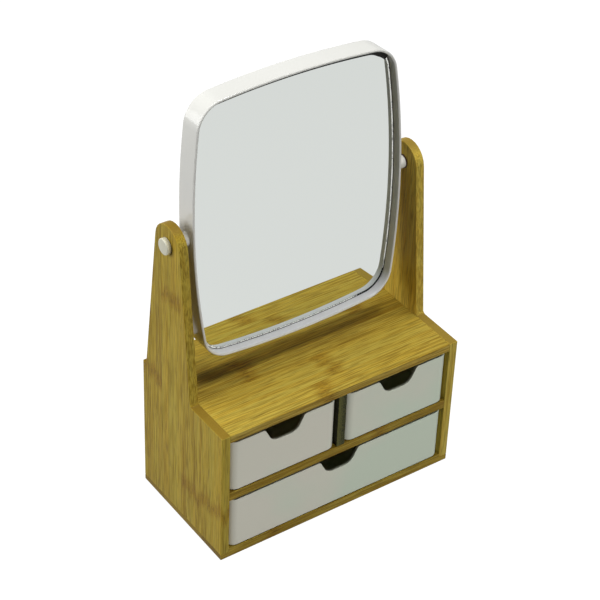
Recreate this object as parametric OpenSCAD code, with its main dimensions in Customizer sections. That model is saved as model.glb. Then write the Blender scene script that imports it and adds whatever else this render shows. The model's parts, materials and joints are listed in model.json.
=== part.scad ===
// Makeup mirror with drawers: a small bamboo cabinet that holds three moulded drawers,
// with a moulded mirror that turns between its two tall side panels.
// Millimetres. +Z is up, -Y is the front, and the origin is the middle of the footprint.

/* [Cabinet] */
// Width over the two side panels
cabinet_w = 220; // [180:1:280]
// Depth from front to back
cabinet_d = 112; // [100:1:150]
// Thickness of each side panel
side_t = 7.5; // [7:0.5:12]
// Thickness of the top board
top_t = 7; // [6.5:0.5:12]
// Thickness of the middle shelf
shelf_t = 8; // [7:0.5:12]
// Thickness of the bottom board between the side panels
bottom_t = 8.4; // [7.6:0.2:14]
// Thickness left at the bottom board's ends, under the side panels
tongue_t = 5.2; // [4:0.2:6]
// Thickness of the divider between the upper drawers
divider_t = 7.5; // [7:0.5:12]
// Thickness of the back panel
back_t = 4; // [4:0.5:6]

/* [Uprights] */
// Distance of the upright's foot behind the cabinet's front
foot_from_front = 44; // [34:1:56]
// Width of the step behind the upright's foot
foot_from_back = 4.5; // [1:0.5:12]
// Radius of the hollow at the upright's front foot
foot_r = 3; // [1:0.5:8]
// Radius of the upright's round head
head_r = 16.8; // [14:0.2:22]
// Distance of the pivot behind the cabinet's front
pivot_from_front = 75; // [66:1:84]

/* [Drawers] */
// Height of every drawer
drawer_h = 47.2; // [36:0.2:60]
// Gap between a drawer and each board beside it
drawer_side_gap = 1; // [0.5:0.1:2]
// Gap above a drawer
drawer_over_gap = 1.9; // [1:0.1:3]
// Gap under a drawer
drawer_under_gap = 0.4; // [0.2:0.1:0.6]
// Gap behind a shut drawer
drawer_back_gap = 2; // [1:0.5:6]
// Distance of a drawer's face behind the cabinet's front
drawer_set_in = 0.4; // [0:0.1:3]
// Wall of a drawer
drawer_wall = 2.2; // [1.6:0.2:3]
// Floor of a drawer
drawer_floor = 2; // [1.6:0.2:3]
// Radius of a drawer's upright outer corners
drawer_corner_r = 7; // [3.2:0.2:10]
// Radius of a drawer's lower outer edges
drawer_edge_r = 0.8; // [0.4:0.2:2]
// Radius of the lower edges inside a drawer
drawer_inner_edge_r = 1.6; // [0.6:0.2:3]

/* [Finger notches] */
// Depth of the notch below a drawer's top edge
notch_depth = 13.8; // [12:0.1:18]
// Width of the notch's flat bottom
notch_flat = 10.6; // [8:0.2:24]
// Radius of the notch's lower corners
notch_r = 9.5; // [5:0.5:10]
// Radius of the lips at the notch's top
notch_lip_r = 3; // [1:0.5:4]
// Slope of the notch's flanks, in degrees from level
notch_slope = 63; // [50:1:80]

/* [Mirror frame] */
// Gap between the mirror frame and each side panel
frame_side_gap = 8.75; // [5:0.25:16]
// Gap between the cabinet's top and the lower edge of the upright mirror
frame_under_gap = 17.5; // [8:0.5:40]
// Height of the mirror frame
frame_h = 224.2; // [190:0.2:240]
// Depth of the mirror frame from front to back
frame_depth = 19; // [17:0.5:24]
// Bulge of the frame's upright sides
side_bulge = 10.3; // [4:0.1:14]
// Bulge of the frame's top and bottom
end_bulge = 6.4; // [3:0.1:10]
// Radius of the frame's four corners
frame_corner_r = 23.6; // [18:0.2:34]
// Thickness of the frame's wall, whose front rim is a half round
rim_t = 2.1; // [1.6:0.1:3]
// Radius that rounds the wall's back edges
back_round = 0.5; // [0.3:0.1:0.7]
// Lean of the mirror's top to the back, in degrees
mirror_lean = 3.5; // [0:0.5:15]

/* [Glass and back] */
// Depth of the glass behind the frame's front rim
glass_recess = 7.3; // [4:0.1:9]
// Thickness of the glass
glass_t = 2; // [1.6:0.2:3]
// Gap between the glass and the frame's wall
glass_gap = 1.1; // [0.5:0.1:2]
// Thickness of the foam pad behind the glass
pad_t = 0.8; // [0.5:0.1:1.2]
// Distance of the pad's outer edge from the frame's wall
pad_inset = 0.4; // [0.2:0.1:3]
// Distance of the pad's inner edge from the flange's inner edge
pad_inner = 0.5; // [0:0.1:1.5]
// Thickness of the flange that carries the glass
flange_t = 2; // [1.6:0.1:2.6]
// Width of the flange that carries the glass
flange_w = 8; // [5:0.5:10]
// Thickness of the back cover's plate and skirt
cover_t = 1.8; // [1.4:0.1:2.4]
// Depth of the back cover's plate below the frame's back edge
cover_sink = 0.8; // [0.4:0.1:1.2]
// Play between the back cover and the frame's wall
cover_play = 0.1; // [0.05:0.05:0.3]

/* [Pivots] */
// Radius of the bosses that stand out from the frame
boss_r = 6.2; // [5:0.1:8]
// Radius of a pivot screw's shank
pivot_r = 2.5; // [2:0.1:3]
// Running clearance round a pivot screw's shank
pivot_play = 0.08; // [0.02:0.01:0.1]
// Thickness of the wall left behind a pivot screw's socket
socket_floor = 0.6; // [0.4:0.1:1]
// Radius of a pivot screw's head
pivot_head_r = 4.4; // [3.6:0.1:5]
// Height of a pivot screw's head
pivot_head_h = 2.2; // [1.6:0.1:2.6]
// Radius of a pivot's cap
cap_r = 6.6; // [6:0.1:9]
// Height of a pivot's cap
cap_h = 4; // [3.4:0.1:6]
// Radius that rounds a cap's edge
cap_round = 1; // [0.6:0.1:1.6]
// Radius of the ball that domes a cap's face
cap_dome_r = 60; // [26:1:90]
// Thickness of a friction washer
washer_t = 0.8; // [0.5:0.1:1.2]
// Gap between the turning pieces and the side panels
turn_gap = 0.15; // [0.1:0.05:0.4]

/* [Fixings] */
// Radius of a dowel
dowel_r = 2; // [1.5:0.1:2.2]
// Length of a dowel between boards
dowel_l = 16; // [12:1:20]
// Depth of a dowel in a side panel
dowel_in_side = 4.5; // [3:0.5:5]
// Length of a divider's dowel
pin_dowel_l = 11; // [9:1:16]
// Depth of a divider's dowel in the top board or the shelf
dowel_in_board = 4; // [3:0.5:4.5]
// Space left at the end of a dowel's bore
dowel_end_gap = 0.5; // [0.2:0.1:1]
// Distance of a dowel from the middle of a board's depth
dowel_y = 32; // [20:1:38]
// Radius of a screw under the bottom board
base_screw_r = 1.5; // [1.2:0.1:1.8]
// Length of a screw under the bottom board
base_screw_l = 18; // [14:1:24]
// Distance of a bottom screw from the middle of the depth
base_screw_y = 38; // [24:1:42]
// Radius of a back panel's screw
back_screw_r = 1.2; // [1:0.1:1.4]
// Length of a back panel's screw
back_screw_l = 14; // [10:1:18]
// Distance between the back panel's two outer screws
back_screw_span = 170; // [120:2:172]

/* [Hidden] */

$fn = 64;
// Overlap that lets a cut run clear through a face
cut = 1;
bamboo = "#a8914a";
bamboo_end = "#8f7a3c";
plastic_white = "#e8e8e2";
drawer_white = "#d9dad4";
steel = "#b8bcc0";
silvered = "#c9d2d2";
soft_grey = "#3c3c3c";

// Each opening's height takes a drawer and the gaps over and under it
opening_h = drawer_h + drawer_over_gap + drawer_under_gap;
shelf_z = bottom_t + opening_h;
upper_z = shelf_z + shelf_t;
top_z = upper_z + opening_h;
cabinet_h = top_z + top_t;
inner_w = cabinet_w - 2 * side_t;
front_y = -cabinet_d / 2;
back_y = cabinet_d / 2;
inner_back_y = back_y - back_t;
bay_w = (inner_w - divider_t) / 2;
bay_x = (bay_w + divider_t) / 2;

frame_w = inner_w - 2 * frame_side_gap;
pivot_y = front_y + pivot_from_front;
pivot_z = cabinet_h + frame_under_gap + frame_h / 2;

drawer_l = cabinet_d - back_t - drawer_back_gap - drawer_set_in;

// Depths in the mirror frame, counted forwards from the pivot axis
rim_front = frame_depth / 2;
glass_front = rim_front - glass_recess;
glass_back = glass_front - glass_t;
flange_front = glass_back - pad_t;
flange_back = flange_front - flange_t;
rim_back = -frame_depth / 2;

// Radii of the arcs that bulge the frame's sides and ends
side_arc_r = (pow(frame_h / 2, 2) + pow(side_bulge, 2)) / (2 * side_bulge);
end_arc_r = (pow(frame_w / 2, 2) + pow(end_bulge, 2)) / (2 * end_bulge);
side_arc_c = [frame_w / 2 - side_arc_r, 0];
end_arc_c = [0, frame_h / 2 - end_arc_r];
// Centre of the corner arc that touches both bulged arcs from inside
corner_c = arc_meeting(side_arc_c, side_arc_r - frame_corner_r, end_arc_c, end_arc_r - frame_corner_r);
side_turn = angle_from(side_arc_c, corner_c);
end_turn = angle_from(end_arc_c, corner_c);
// Steps along a bulged half side, round a corner, over the front rim and round a back edge
bulge_steps = 6;
corner_steps = 8;
rim_steps = 6;
edge_steps = 2;

// Distances out from the middle along the pivot axis
panel_in_x = inner_w / 2;
panel_out_x = cabinet_w / 2;
washer_x = panel_in_x - turn_gap - washer_t;
cap_x = panel_out_x + turn_gap;
// The pivot screw's socket stops short of the wall's inner face
socket_x = frame_w / 2 - rim_t + socket_floor;

notch_flank = [sin(notch_slope), -cos(notch_slope)];
notch_corner_c = [notch_flat / 2, notch_r - notch_depth];
notch_low = notch_corner_c + notch_r * notch_flank;
notch_lip_low_z = -notch_lip_r * (1 - cos(notch_slope));
notch_lip_x = notch_low.x + (notch_lip_low_z - notch_low.y) / tan(notch_slope)
    + notch_lip_r * notch_flank.x;

function angle_from(a, b) = atan2(b.y - a.y, b.x - a.x);

// The point at distance ra from a and rb from b, on the side away from the origin
function arc_meeting(a, ra, b, rb) =
    let (d = norm(b - a), e = (b - a) / d, x = (ra * ra - rb * rb + d * d) / (2 * d))
    a + e * x + [-e.y, e.x] * sqrt(ra * ra - x * x);

// Points on an arc about c from angle a0 to a1, both ends included
function arc(c, r, a0, a1, steps) =
    [for (i = [0:steps]) let (a = a0 + (a1 - a0) * i / steps) c + r * [cos(a), sin(a)]];

// All items of a list but its last
function without_last(list) = [for (i = [0:len(list) - 2]) list[i]];

// One quarter of the frame's outline, drawn in by the given inset
function outline_quarter(inset) = concat(
    without_last(arc(side_arc_c, side_arc_r - inset, 0, side_turn, bulge_steps)),
    without_last(arc(corner_c, frame_corner_r - inset, side_turn, end_turn, corner_steps)),
    arc(end_arc_c, end_arc_r - inset, end_turn, 90, bulge_steps)
);

// The whole outline, anticlockwise from the middle of the right side
function frame_outline(inset) =
    let (q = outline_quarter(inset), n = len(q))
    concat(
        q,
        [for (i = [n - 2:-1:0]) [-q[i].x, q[i].y]],
        [for (i = [1:n - 1]) [-q[i].x, -q[i].y]],
        [for (i = [n - 2:-1:1]) [q[i].x, -q[i].y]]
    );

// Where the tangent from point p touches the circle about c, on the given side
function tangent_point(p, c, r, side) =
    let (v = c - p, d = norm(v), a = atan2(v.y, v.x) + side * asin(r / d))
    p + sqrt(d * d - r * r) * [cos(a), sin(a)];

// Sweeps a closed profile of [inset, depth] points round the frame's outline
module swept_frame(profile) {
    rings = [for (p = profile) [for (q = frame_outline(p.x)) [q.x, q.y, p.y]]];
    n = len(rings[0]);
    m = len(rings);
    points = [for (ring = rings) each ring];
    faces = [
        for (i = [0:m - 1], j = [0:n - 1])
        let (i2 = (i + 1) % m, j2 = (j + 1) % n)
        each [
            [i * n + j, i2 * n + j, i2 * n + j2],
            [i * n + j, i2 * n + j2, i * n + j2]
        ]
    ];
    polyhedron(points, faces);
}

// Places a shape that is drawn in the mirror's own plane, with depth towards the viewer
module in_mirror_plane() {
    translate([0, pivot_y, pivot_z]) rotate([90 - mirror_lean, 0, 0]) children();
}

// Places a shape that is drawn along +X from the middle of the object, on the pivot axis
module on_pivot_axis(side) {
    translate([0, pivot_y, pivot_z]) rotate([-mirror_lean, 0, 0]) mirror([side < 0 ? 1 : 0, 0, 0])
        rotate([0, 90, 0]) children();
}

module board(x0, x1, y0, y1, z0, z1) {
    translate([x0, y0, z0]) cube([x1 - x0, y1 - y0, z1 - z0]);
}

// A square with four round corners, centred on the origin
module rounded_rectangle(w, h, r) {
    union() {
        square([w - 2 * r, h], center = true);
        square([w, h - 2 * r], center = true);
        for (x = [-1, 1], y = [-1, 1])
            translate([x * (w / 2 - r), y * (h / 2 - r)]) circle(r);
    }
}

// A rectangle that stands on the X axis and whose two lower corners are round
module round_bottom_rectangle(w, h, r) {
    union() {
        translate([-w / 2, r]) square([w, h - r]);
        translate([-w / 2 + r, 0]) square([w - 2 * r, h]);
        for (x = [-1, 1]) translate([x * (w / 2 - r), r]) circle(r);
    }
}

// A block whose upright edges and lower edges are round, standing on z = 0
module moulded_block(w, l, h, corner_r, edge_r) {
    intersection() {
        linear_extrude(h) rounded_rectangle(w, l, corner_r);
        translate([0, l / 2, 0]) rotate([90, 0, 0])
            linear_extrude(l) round_bottom_rectangle(w, h, edge_r);
        translate([-w / 2, 0, 0]) rotate([90, 0, 90])
            linear_extrude(w) round_bottom_rectangle(l, h, edge_r);
    }
}

// The finger notch's outline, with its top edge at y = 0
module notch_outline() {
    half = concat(
        arc(notch_corner_c, notch_r, -90, notch_slope - 90, corner_steps),
        arc([notch_lip_x, -notch_lip_r], notch_lip_r, notch_slope + 90, 90, corner_steps),
        [[notch_lip_x, cut]]
    );
    n = len(half);
    polygon(concat(half, [for (i = [n - 1:-1:0]) [-half[i].x, half[i].y]]));
}

// A drawer of the given width, with its face and floor in the frame of the cabinet
module drawer(w, x, z) {
    face_y = front_y + drawer_set_in;
    translate([x, face_y + drawer_l / 2, z + drawer_under_gap]) difference() {
        moulded_block(w, drawer_l, drawer_h, drawer_corner_r, drawer_edge_r);
        translate([0, 0, drawer_floor]) moulded_block(
            w - 2 * drawer_wall, drawer_l - 2 * drawer_wall, drawer_h,
            drawer_corner_r - drawer_wall, drawer_inner_edge_r
        );
        translate([0, drawer_wall - drawer_l / 2 + cut, drawer_h]) rotate([90, 0, 0])
            linear_extrude(drawer_wall + 2 * cut) notch_outline();
    }
}

// A dowel along +Z with chamfered ends, centred on the origin
module dowel(length) {
    chamfer = 0.5;
    for (end = [0, 1]) mirror([0, 0, end]) union() {
        cylinder(r = dowel_r, h = length / 2 - chamfer);
        translate([0, 0, length / 2 - chamfer])
            cylinder(r1 = dowel_r, r2 = dowel_r - chamfer, h = chamfer);
    }
}

// Places dowels along X, half in the side panel, for a board whose mid-height is z
module at_end_dowels(z) {
    for (side = [-1, 1], y = [-1, 1])
        translate([side * (panel_in_x + dowel_in_side - dowel_l / 2), y * dowel_y, z])
            rotate([0, 90, 0]) children();
}

// The bores for those dowels, a little longer than the dowels at both ends
module end_dowel_bores(z) {
    at_end_dowels(z) cylinder(r = dowel_r, h = dowel_l + 2 * dowel_end_gap, center = true);
}

// Places the divider's dowels, on the joint at height z, reaching by dowel_in_board up or down
module at_divider_dowels(z, way) {
    for (y = [-1, 1])
        translate([0, y * dowel_y, z + way * (dowel_in_board - pin_dowel_l / 2)]) children();
}

module divider_dowel_bores() {
    at_divider_dowels(top_z, 1)
        cylinder(r = dowel_r, h = pin_dowel_l + 2 * dowel_end_gap, center = true);
    at_divider_dowels(upper_z, -1)
        cylinder(r = dowel_r, h = pin_dowel_l + 2 * dowel_end_gap, center = true);
}

// A flat-headed screw along +Z with its head's face at z = 0
module flat_head_screw(r, length) {
    head_h = r;
    union() {
        cylinder(r1 = 2 * r, r2 = r, h = head_h);
        cylinder(r = r, h = length - r);
        translate([0, 0, length - r]) cylinder(r1 = r, r2 = r / 4, h = r);
    }
}

module at_bottom_screws() {
    for (side = [-1, 1], y = [-1, 1])
        translate([side * (panel_in_x + side_t / 2), y * base_screw_y, 0]) children();
}

// Places the back panel's screws: along the shelf's edge and up the divider's edge
module at_back_screws() {
    places = [
        [-back_screw_span / 2, shelf_z + shelf_t / 2],
        [-back_screw_span / 6, shelf_z + shelf_t / 2],
        [back_screw_span / 6, shelf_z + shelf_t / 2],
        [back_screw_span / 2, shelf_z + shelf_t / 2],
        [0, (upper_z + top_z) / 2]
    ];
    for (p = places) translate([p.x, back_y, p.y]) rotate([90, 0, 0]) children();
}

// One side panel's outline, drawn with depth along X and height along Y
module side_panel_outline() {
    front_foot = [front_y + foot_from_front, cabinet_h];
    back_foot = [back_y - foot_from_back, cabinet_h];
    head_c = [pivot_y, pivot_z];
    front_touch = tangent_point(front_foot, head_c, head_r, 1);
    back_touch = tangent_point(back_foot, head_c, head_r, -1);
    rise = (front_touch - front_foot) / norm(front_touch - front_foot);
    hollow_start = front_foot + rise * foot_r * (1 - rise.x) / rise.y;
    hollow_c = hollow_start + foot_r * [-rise.y, rise.x];
    union() {
        translate([front_y, tongue_t]) square([cabinet_d, cabinet_h - tongue_t]);
        polygon([front_foot, back_foot, back_touch, head_c, front_touch]);
        translate(head_c) circle(head_r);
        difference() {
            polygon([front_foot, hollow_start, hollow_c, [hollow_c.x, cabinet_h]]);
            translate(hollow_c) circle(foot_r);
        }
    }
}

// One side panel with its bores
module side_panel(side) {
    color(bamboo) difference() {
        translate([side > 0 ? panel_in_x : -panel_out_x, 0, 0]) rotate([90, 0, 90])
            linear_extrude(side_t) side_panel_outline();
        on_pivot_axis(side) cylinder(r = pivot_r + pivot_play, h = panel_out_x + cut);
        end_dowel_bores(top_z + top_t / 2);
        end_dowel_bores(shelf_z + shelf_t / 2);
        at_bottom_screws() flat_head_screw(base_screw_r, base_screw_l);
    }
}

module left_side_panel() {
    side_panel(-1);
}

module right_side_panel() {
    side_panel(1);
}

module bottom_board() {
    color(bamboo) difference() {
        union() {
            board(-panel_out_x, panel_out_x, front_y, back_y, 0, tongue_t);
            board(-panel_in_x, panel_in_x, front_y, back_y, 0, bottom_t);
        }
        at_bottom_screws() flat_head_screw(base_screw_r, base_screw_l);
    }
}

module top_board() {
    color(bamboo) difference() {
        board(-panel_in_x, panel_in_x, front_y, back_y, top_z, cabinet_h);
        end_dowel_bores(top_z + top_t / 2);
        divider_dowel_bores();
    }
}

module middle_shelf() {
    color(bamboo) difference() {
        board(-panel_in_x, panel_in_x, front_y, inner_back_y, shelf_z, upper_z);
        end_dowel_bores(shelf_z + shelf_t / 2);
        divider_dowel_bores();
        at_back_screws() flat_head_screw(back_screw_r, back_screw_l);
    }
}

module drawer_divider() {
    color(bamboo_end) difference() {
        board(-divider_t / 2, divider_t / 2, front_y, inner_back_y, upper_z, top_z);
        divider_dowel_bores();
        at_back_screws() flat_head_screw(back_screw_r, back_screw_l);
    }
}

module back_panel() {
    color(bamboo) difference() {
        board(-panel_in_x, panel_in_x, inner_back_y, back_y, bottom_t, top_z);
        at_back_screws() flat_head_screw(back_screw_r, back_screw_l);
    }
}

module left_drawer() {
    color(drawer_white) drawer(bay_w - 2 * drawer_side_gap, -bay_x, upper_z);
}

module right_drawer() {
    color(drawer_white) drawer(bay_w - 2 * drawer_side_gap, bay_x, upper_z);
}

module lower_drawer() {
    color(drawer_white) drawer(inner_w - 2 * drawer_side_gap, 0, bottom_t);
}

// The moulded mirror frame: a thin deep wall, a flange inside it for the glass, and two bosses
module mirror_frame() {
    half_t = rim_t / 2;
    profile = concat(
        arc([half_t, rim_front - half_t], half_t, 180, 0, rim_steps),
        [[rim_t, flange_front], [rim_t + flange_w, flange_front]],
        [[rim_t + flange_w, flange_back], [rim_t, flange_back]],
        arc([rim_t - back_round, rim_back + back_round], back_round, 0, -90, edge_steps),
        arc([back_round, rim_back + back_round], back_round, -90, -180, edge_steps)
    );
    color(plastic_white) difference() {
        union() {
            in_mirror_plane() swept_frame(profile);
            for (side = [-1, 1]) on_pivot_axis(side)
                translate([0, 0, frame_w / 2 - rim_t / 2])
                    cylinder(r = boss_r, h = washer_x - frame_w / 2 + rim_t / 2);
        }
        for (side = [-1, 1]) on_pivot_axis(side)
            translate([0, 0, socket_x]) cylinder(r = pivot_r, h = washer_x - socket_x + cut);
    }
}

// A ring of foam tape between the flange and the glass
module glass_pad() {
    color(soft_grey) in_mirror_plane() translate([0, 0, flange_front]) difference() {
        linear_extrude(pad_t) polygon(frame_outline(rim_t + pad_inset));
        translate([0, 0, -cut]) linear_extrude(pad_t + 2 * cut)
            polygon(frame_outline(rim_t + flange_w - pad_inner));
    }
}

module mirror_glass() {
    color(silvered) in_mirror_plane() translate([0, 0, glass_back])
        linear_extrude(glass_t) polygon(frame_outline(rim_t + glass_gap));
}

// A moulded pan that closes the frame's back: a plate with a skirt that stands on the flange
module mirror_back_cover() {
    edge = rim_t + cover_play;
    plate_back = rim_back + cover_sink;
    color(plastic_white) in_mirror_plane() translate([0, 0, plate_back]) difference() {
        linear_extrude(flange_back - plate_back) polygon(frame_outline(edge));
        translate([0, 0, cover_t]) linear_extrude(flange_back - plate_back)
            polygon(frame_outline(edge + cover_t));
    }
}

// A steel screw whose head sits under the cap and whose shank ends in the frame's boss
module pivot_screw(side) {
    color(steel) on_pivot_axis(side) union() {
        translate([0, 0, socket_x]) cylinder(r = pivot_r, h = cap_x - socket_x);
        translate([0, 0, cap_x]) cylinder(r = pivot_head_r, h = pivot_head_h);
    }
}

module left_pivot_screw() {
    pivot_screw(-1);
}

module right_pivot_screw() {
    pivot_screw(1);
}

// A domed cap with a round edge, moulded over the pivot screw's head
module pivot_cap(side) {
    dome_c = [0, cap_h - cap_dome_r];
    edge_x = cap_r - cap_round;
    edge_c = [edge_x, dome_c.y + sqrt(pow(cap_dome_r - cap_round, 2) - pow(edge_x, 2))];
    edge_turn = angle_from(dome_c, edge_c);
    profile = concat(
        [[pivot_head_r, 0], [cap_r, 0]],
        without_last(arc(edge_c, cap_round, 0, edge_turn, corner_steps)),
        arc(dome_c, cap_dome_r, edge_turn, 90, bulge_steps),
        [[0, pivot_head_h], [pivot_head_r, pivot_head_h]]
    );
    color(plastic_white) on_pivot_axis(side) translate([0, 0, cap_x])
        rotate_extrude() polygon(profile);
}

module left_pivot_cap() {
    pivot_cap(-1);
}

module right_pivot_cap() {
    pivot_cap(1);
}

module friction_washer(side) {
    color(soft_grey) on_pivot_axis(side) translate([0, 0, washer_x]) difference() {
        cylinder(r = boss_r, h = washer_t);
        translate([0, 0, -cut]) cylinder(r = pivot_r, h = washer_t + 2 * cut);
    }
}

module left_friction_washer() {
    friction_washer(-1);
}

module right_friction_washer() {
    friction_washer(1);
}

module top_board_dowels() {
    color(bamboo_end) at_end_dowels(top_z + top_t / 2) dowel(dowel_l);
}

module shelf_dowels() {
    color(bamboo_end) at_end_dowels(shelf_z + shelf_t / 2) dowel(dowel_l);
}

module divider_dowels() {
    color(bamboo_end) {
        at_divider_dowels(top_z, 1) dowel(pin_dowel_l);
        at_divider_dowels(upper_z, -1) dowel(pin_dowel_l);
    }
}

module bottom_screws() {
    color(steel) at_bottom_screws() flat_head_screw(base_screw_r, base_screw_l);
}

module back_panel_screws() {
    color(steel) at_back_screws() flat_head_screw(back_screw_r, back_screw_l);
}

bottom_board();
left_side_panel();
right_side_panel();
top_board();
middle_shelf();
drawer_divider();
back_panel();
left_drawer();
right_drawer();
lower_drawer();
mirror_frame();
glass_pad();
mirror_glass();
mirror_back_cover();
left_pivot_screw();
right_pivot_screw();
left_pivot_cap();
right_pivot_cap();
left_friction_washer();
right_friction_washer();
top_board_dowels();
shelf_dowels();
divider_dowels();
bottom_screws();
back_panel_screws();
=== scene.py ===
"""Dresses the tabletop makeup mirror: bamboo cabinet, moulded drawers and a silvered mirror in a deep frame.

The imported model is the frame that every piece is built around. All lengths in the meshes are metres, +Z is
up and the drawers face -Y. Outlines, walls and edges are fields in millimetres. Places come from the boxes
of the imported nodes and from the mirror's pivot.
"""
from __future__ import annotations

import json
import logging
import math
from dataclasses import dataclass
from enum import Enum
from typing import Sequence

import bpy
import numpy as np
from mathutils import Matrix, Vector

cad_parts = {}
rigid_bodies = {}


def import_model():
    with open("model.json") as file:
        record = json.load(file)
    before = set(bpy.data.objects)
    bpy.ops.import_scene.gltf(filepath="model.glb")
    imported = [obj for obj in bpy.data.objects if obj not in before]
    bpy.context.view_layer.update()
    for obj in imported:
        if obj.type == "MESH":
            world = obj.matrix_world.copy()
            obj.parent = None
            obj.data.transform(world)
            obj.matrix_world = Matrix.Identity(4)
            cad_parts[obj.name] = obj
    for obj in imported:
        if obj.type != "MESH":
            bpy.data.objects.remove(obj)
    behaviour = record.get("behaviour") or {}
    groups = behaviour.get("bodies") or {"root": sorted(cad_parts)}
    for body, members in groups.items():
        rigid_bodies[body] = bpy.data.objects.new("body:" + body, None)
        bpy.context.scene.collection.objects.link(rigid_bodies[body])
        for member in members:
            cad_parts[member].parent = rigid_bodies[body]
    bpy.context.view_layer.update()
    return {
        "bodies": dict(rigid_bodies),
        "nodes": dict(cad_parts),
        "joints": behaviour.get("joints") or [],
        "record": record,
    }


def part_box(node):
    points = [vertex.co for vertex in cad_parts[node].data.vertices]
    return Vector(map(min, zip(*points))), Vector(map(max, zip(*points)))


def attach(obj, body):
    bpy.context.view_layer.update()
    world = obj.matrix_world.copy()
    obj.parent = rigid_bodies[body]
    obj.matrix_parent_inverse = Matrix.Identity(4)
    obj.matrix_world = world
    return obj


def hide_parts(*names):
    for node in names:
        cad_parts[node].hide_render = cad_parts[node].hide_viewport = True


LOG = logging.getLogger("makeup_mirror")
MM = 0.001

QUARTER = math.pi / 2
WHITE = (1.0, 1.0, 1.0)

# The range that holds nearly all values of a noise.
NOISE_RANGE = (0.3, 0.7)

Array = np.ndarray
Path2 = tuple[Array, Array]
Colour = tuple[float, float, float]


class Axis(Enum):
    """A direction of the object's own frame."""

    X = 0
    Y = 1
    Z = 2


class Layout(Enum):
    """How a flat outline and its thickness lie in the object: axes of its two sides and of its height."""

    FLAT = ((1, 0, 0), (0, 1, 0), (0, 0, 1))
    UPRIGHT_SIDE = ((0, 1, 0), (0, 0, 1), (1, 0, 0))
    UPRIGHT_FRONT = ((1, 0, 0), (0, 0, 1), (0, -1, 0))


@dataclass
class Shell:
    """One closed surface.

    Attributes:
        points: Positions, one row each.
        normals: Outward unit vectors, one row for each point.
        faces: Lists of point indices, anticlockwise from outside.
        edge: 1 in the middle of a rounded edge and 0 on a flat, for each point.
        finish: Index of the finish that each face takes.
    """

    points: Array
    normals: Array
    faces: list[list[int]]
    edge: Array
    finish: Array

    def placed(self, axes: Array, place: Array) -> Shell:
        """The same surface, turned by a rotation matrix whose columns are its axes, and put at a place."""
        return Shell(self.points @ axes.T + place, self.normals @ axes.T, self.faces, self.edge, self.finish)

    def mirrored(self) -> Shell:
        """The same surface on the other side of the plane x = 0, with its faces still outwards.

        Returns:
            The mirrored surface.
        """
        flip = np.array([-1.0, 1.0, 1.0])
        faces = [face[::-1] for face in self.faces]
        return Shell(self.points * flip, self.normals * flip, faces, self.edge, self.finish)


def unit(vectors: Array) -> Array:
    """Vectors scaled to a length of one."""
    return vectors / np.linalg.norm(vectors, axis=-1, keepdims=True)


def rays(angles: Array) -> Array:
    """Unit vectors at some angles, each as a cosine and a sine."""
    return np.stack([np.cos(angles), np.sin(angles)], axis=-1)


def edge_share(leaning: Array) -> Array:
    """How near directions in a profile are to a round edge's middle: 1 at 45 degrees, 0 along an axis."""
    return 1 - np.abs(np.abs(leaning[..., 0]) - np.abs(leaning[..., 1]))


def rounded_outline(corners: Sequence[Sequence[float]], radii: Sequence[float], steps: int) -> Path2:
    """A closed polygon whose corners are arcs.

    Each arc touches both sides of its corner. Its centre lies at the radius to the left of the side that
    comes in, or to the right where the corner bends inwards, and its points turn with the angle between the
    sides.

    Args:
        corners: Corners of the polygon, anticlockwise.
        radii: Radius of the arc at each corner.
        steps: Number of pieces in each arc.

    Returns:
        The points, and the outward normal at each.
    """
    corner, radius = np.asarray(corners, float), np.asarray(radii, float)[:, None]
    way_in = unit(corner - np.roll(corner, 1, axis=0))
    way_out = unit(np.roll(corner, -1, axis=0) - corner)
    turn = np.arctan2(
        way_in[:, 0] * way_out[:, 1] - way_in[:, 1] * way_out[:, 0], np.sum(way_in * way_out, axis=1)
    )[:, None]
    side = np.sign(turn)
    left = np.stack([-way_in[:, 1], way_in[:, 0]], axis=1)
    centre = corner - way_in * radius * np.tan(np.abs(turn) / 2) + side * radius * left
    start = np.arctan2(-side[:, 0] * left[:, 1], -side[:, 0] * left[:, 0])[:, None]
    angle = start + turn * np.linspace(0, 1, steps + 1)[None, :]
    ray = rays(angle)
    points = centre[:, None, :] + radius[:, None, :] * ray
    return points.reshape(-1, 2), (ray * side[:, None, :]).reshape(-1, 2)


def rectangle(low: Sequence[float], high: Sequence[float], radius: float, steps: int) -> Path2:
    """A rectangle with four round corners, from its lowest to its highest corner."""
    corners = [(low[0], low[1]), (high[0], low[1]), (high[0], high[1]), (low[0], high[1])]
    return rounded_outline(corners, [radius] * 4, steps)


def grid_faces(rings: int, around: int, closed: bool = False) -> list[list[int]]:
    """Four-sided faces between rings of points, each ring closed on itself.

    Args:
        rings: Number of rings.
        around: Number of points in each ring.
        closed: Whether the last ring joins the first.

    Returns:
        The faces, anticlockwise from outside when the rings climb an anticlockwise outline.
    """
    row = np.arange(rings if closed else rings - 1)[:, None]
    col = np.arange(around)[None, :]
    above, beside = (row + 1) % rings, (col + 1) % around
    quads = np.stack(
        [row * around + col, row * around + beside, above * around + beside, above * around + col], axis=2
    )
    return quads.reshape(-1, 4).tolist()


def loft(points: Array, normals: Array, edge: Array, closed: bool = False) -> Shell:
    """A surface through rings of points.

    Args:
        points: Rings of points, as rings by places round by three.
        normals: Their outward directions, in the same form.
        edge: How far each ring lies on a rounded edge, from 0 to 1.
        closed: Whether the last ring joins the first. Otherwise flat caps close both ends.

    Returns:
        The closed surface.
    """
    rings, around = points.shape[:2]
    faces = grid_faces(rings, around, closed)
    if not closed:
        faces.append(list(range(around))[::-1])
        faces.append(list(range((rings - 1) * around, rings * around)))
    finish = np.zeros(len(faces), int)
    return Shell(points.reshape(-1, 3), unit(normals.reshape(-1, 3)), faces, np.repeat(edge, around), finish)


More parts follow.
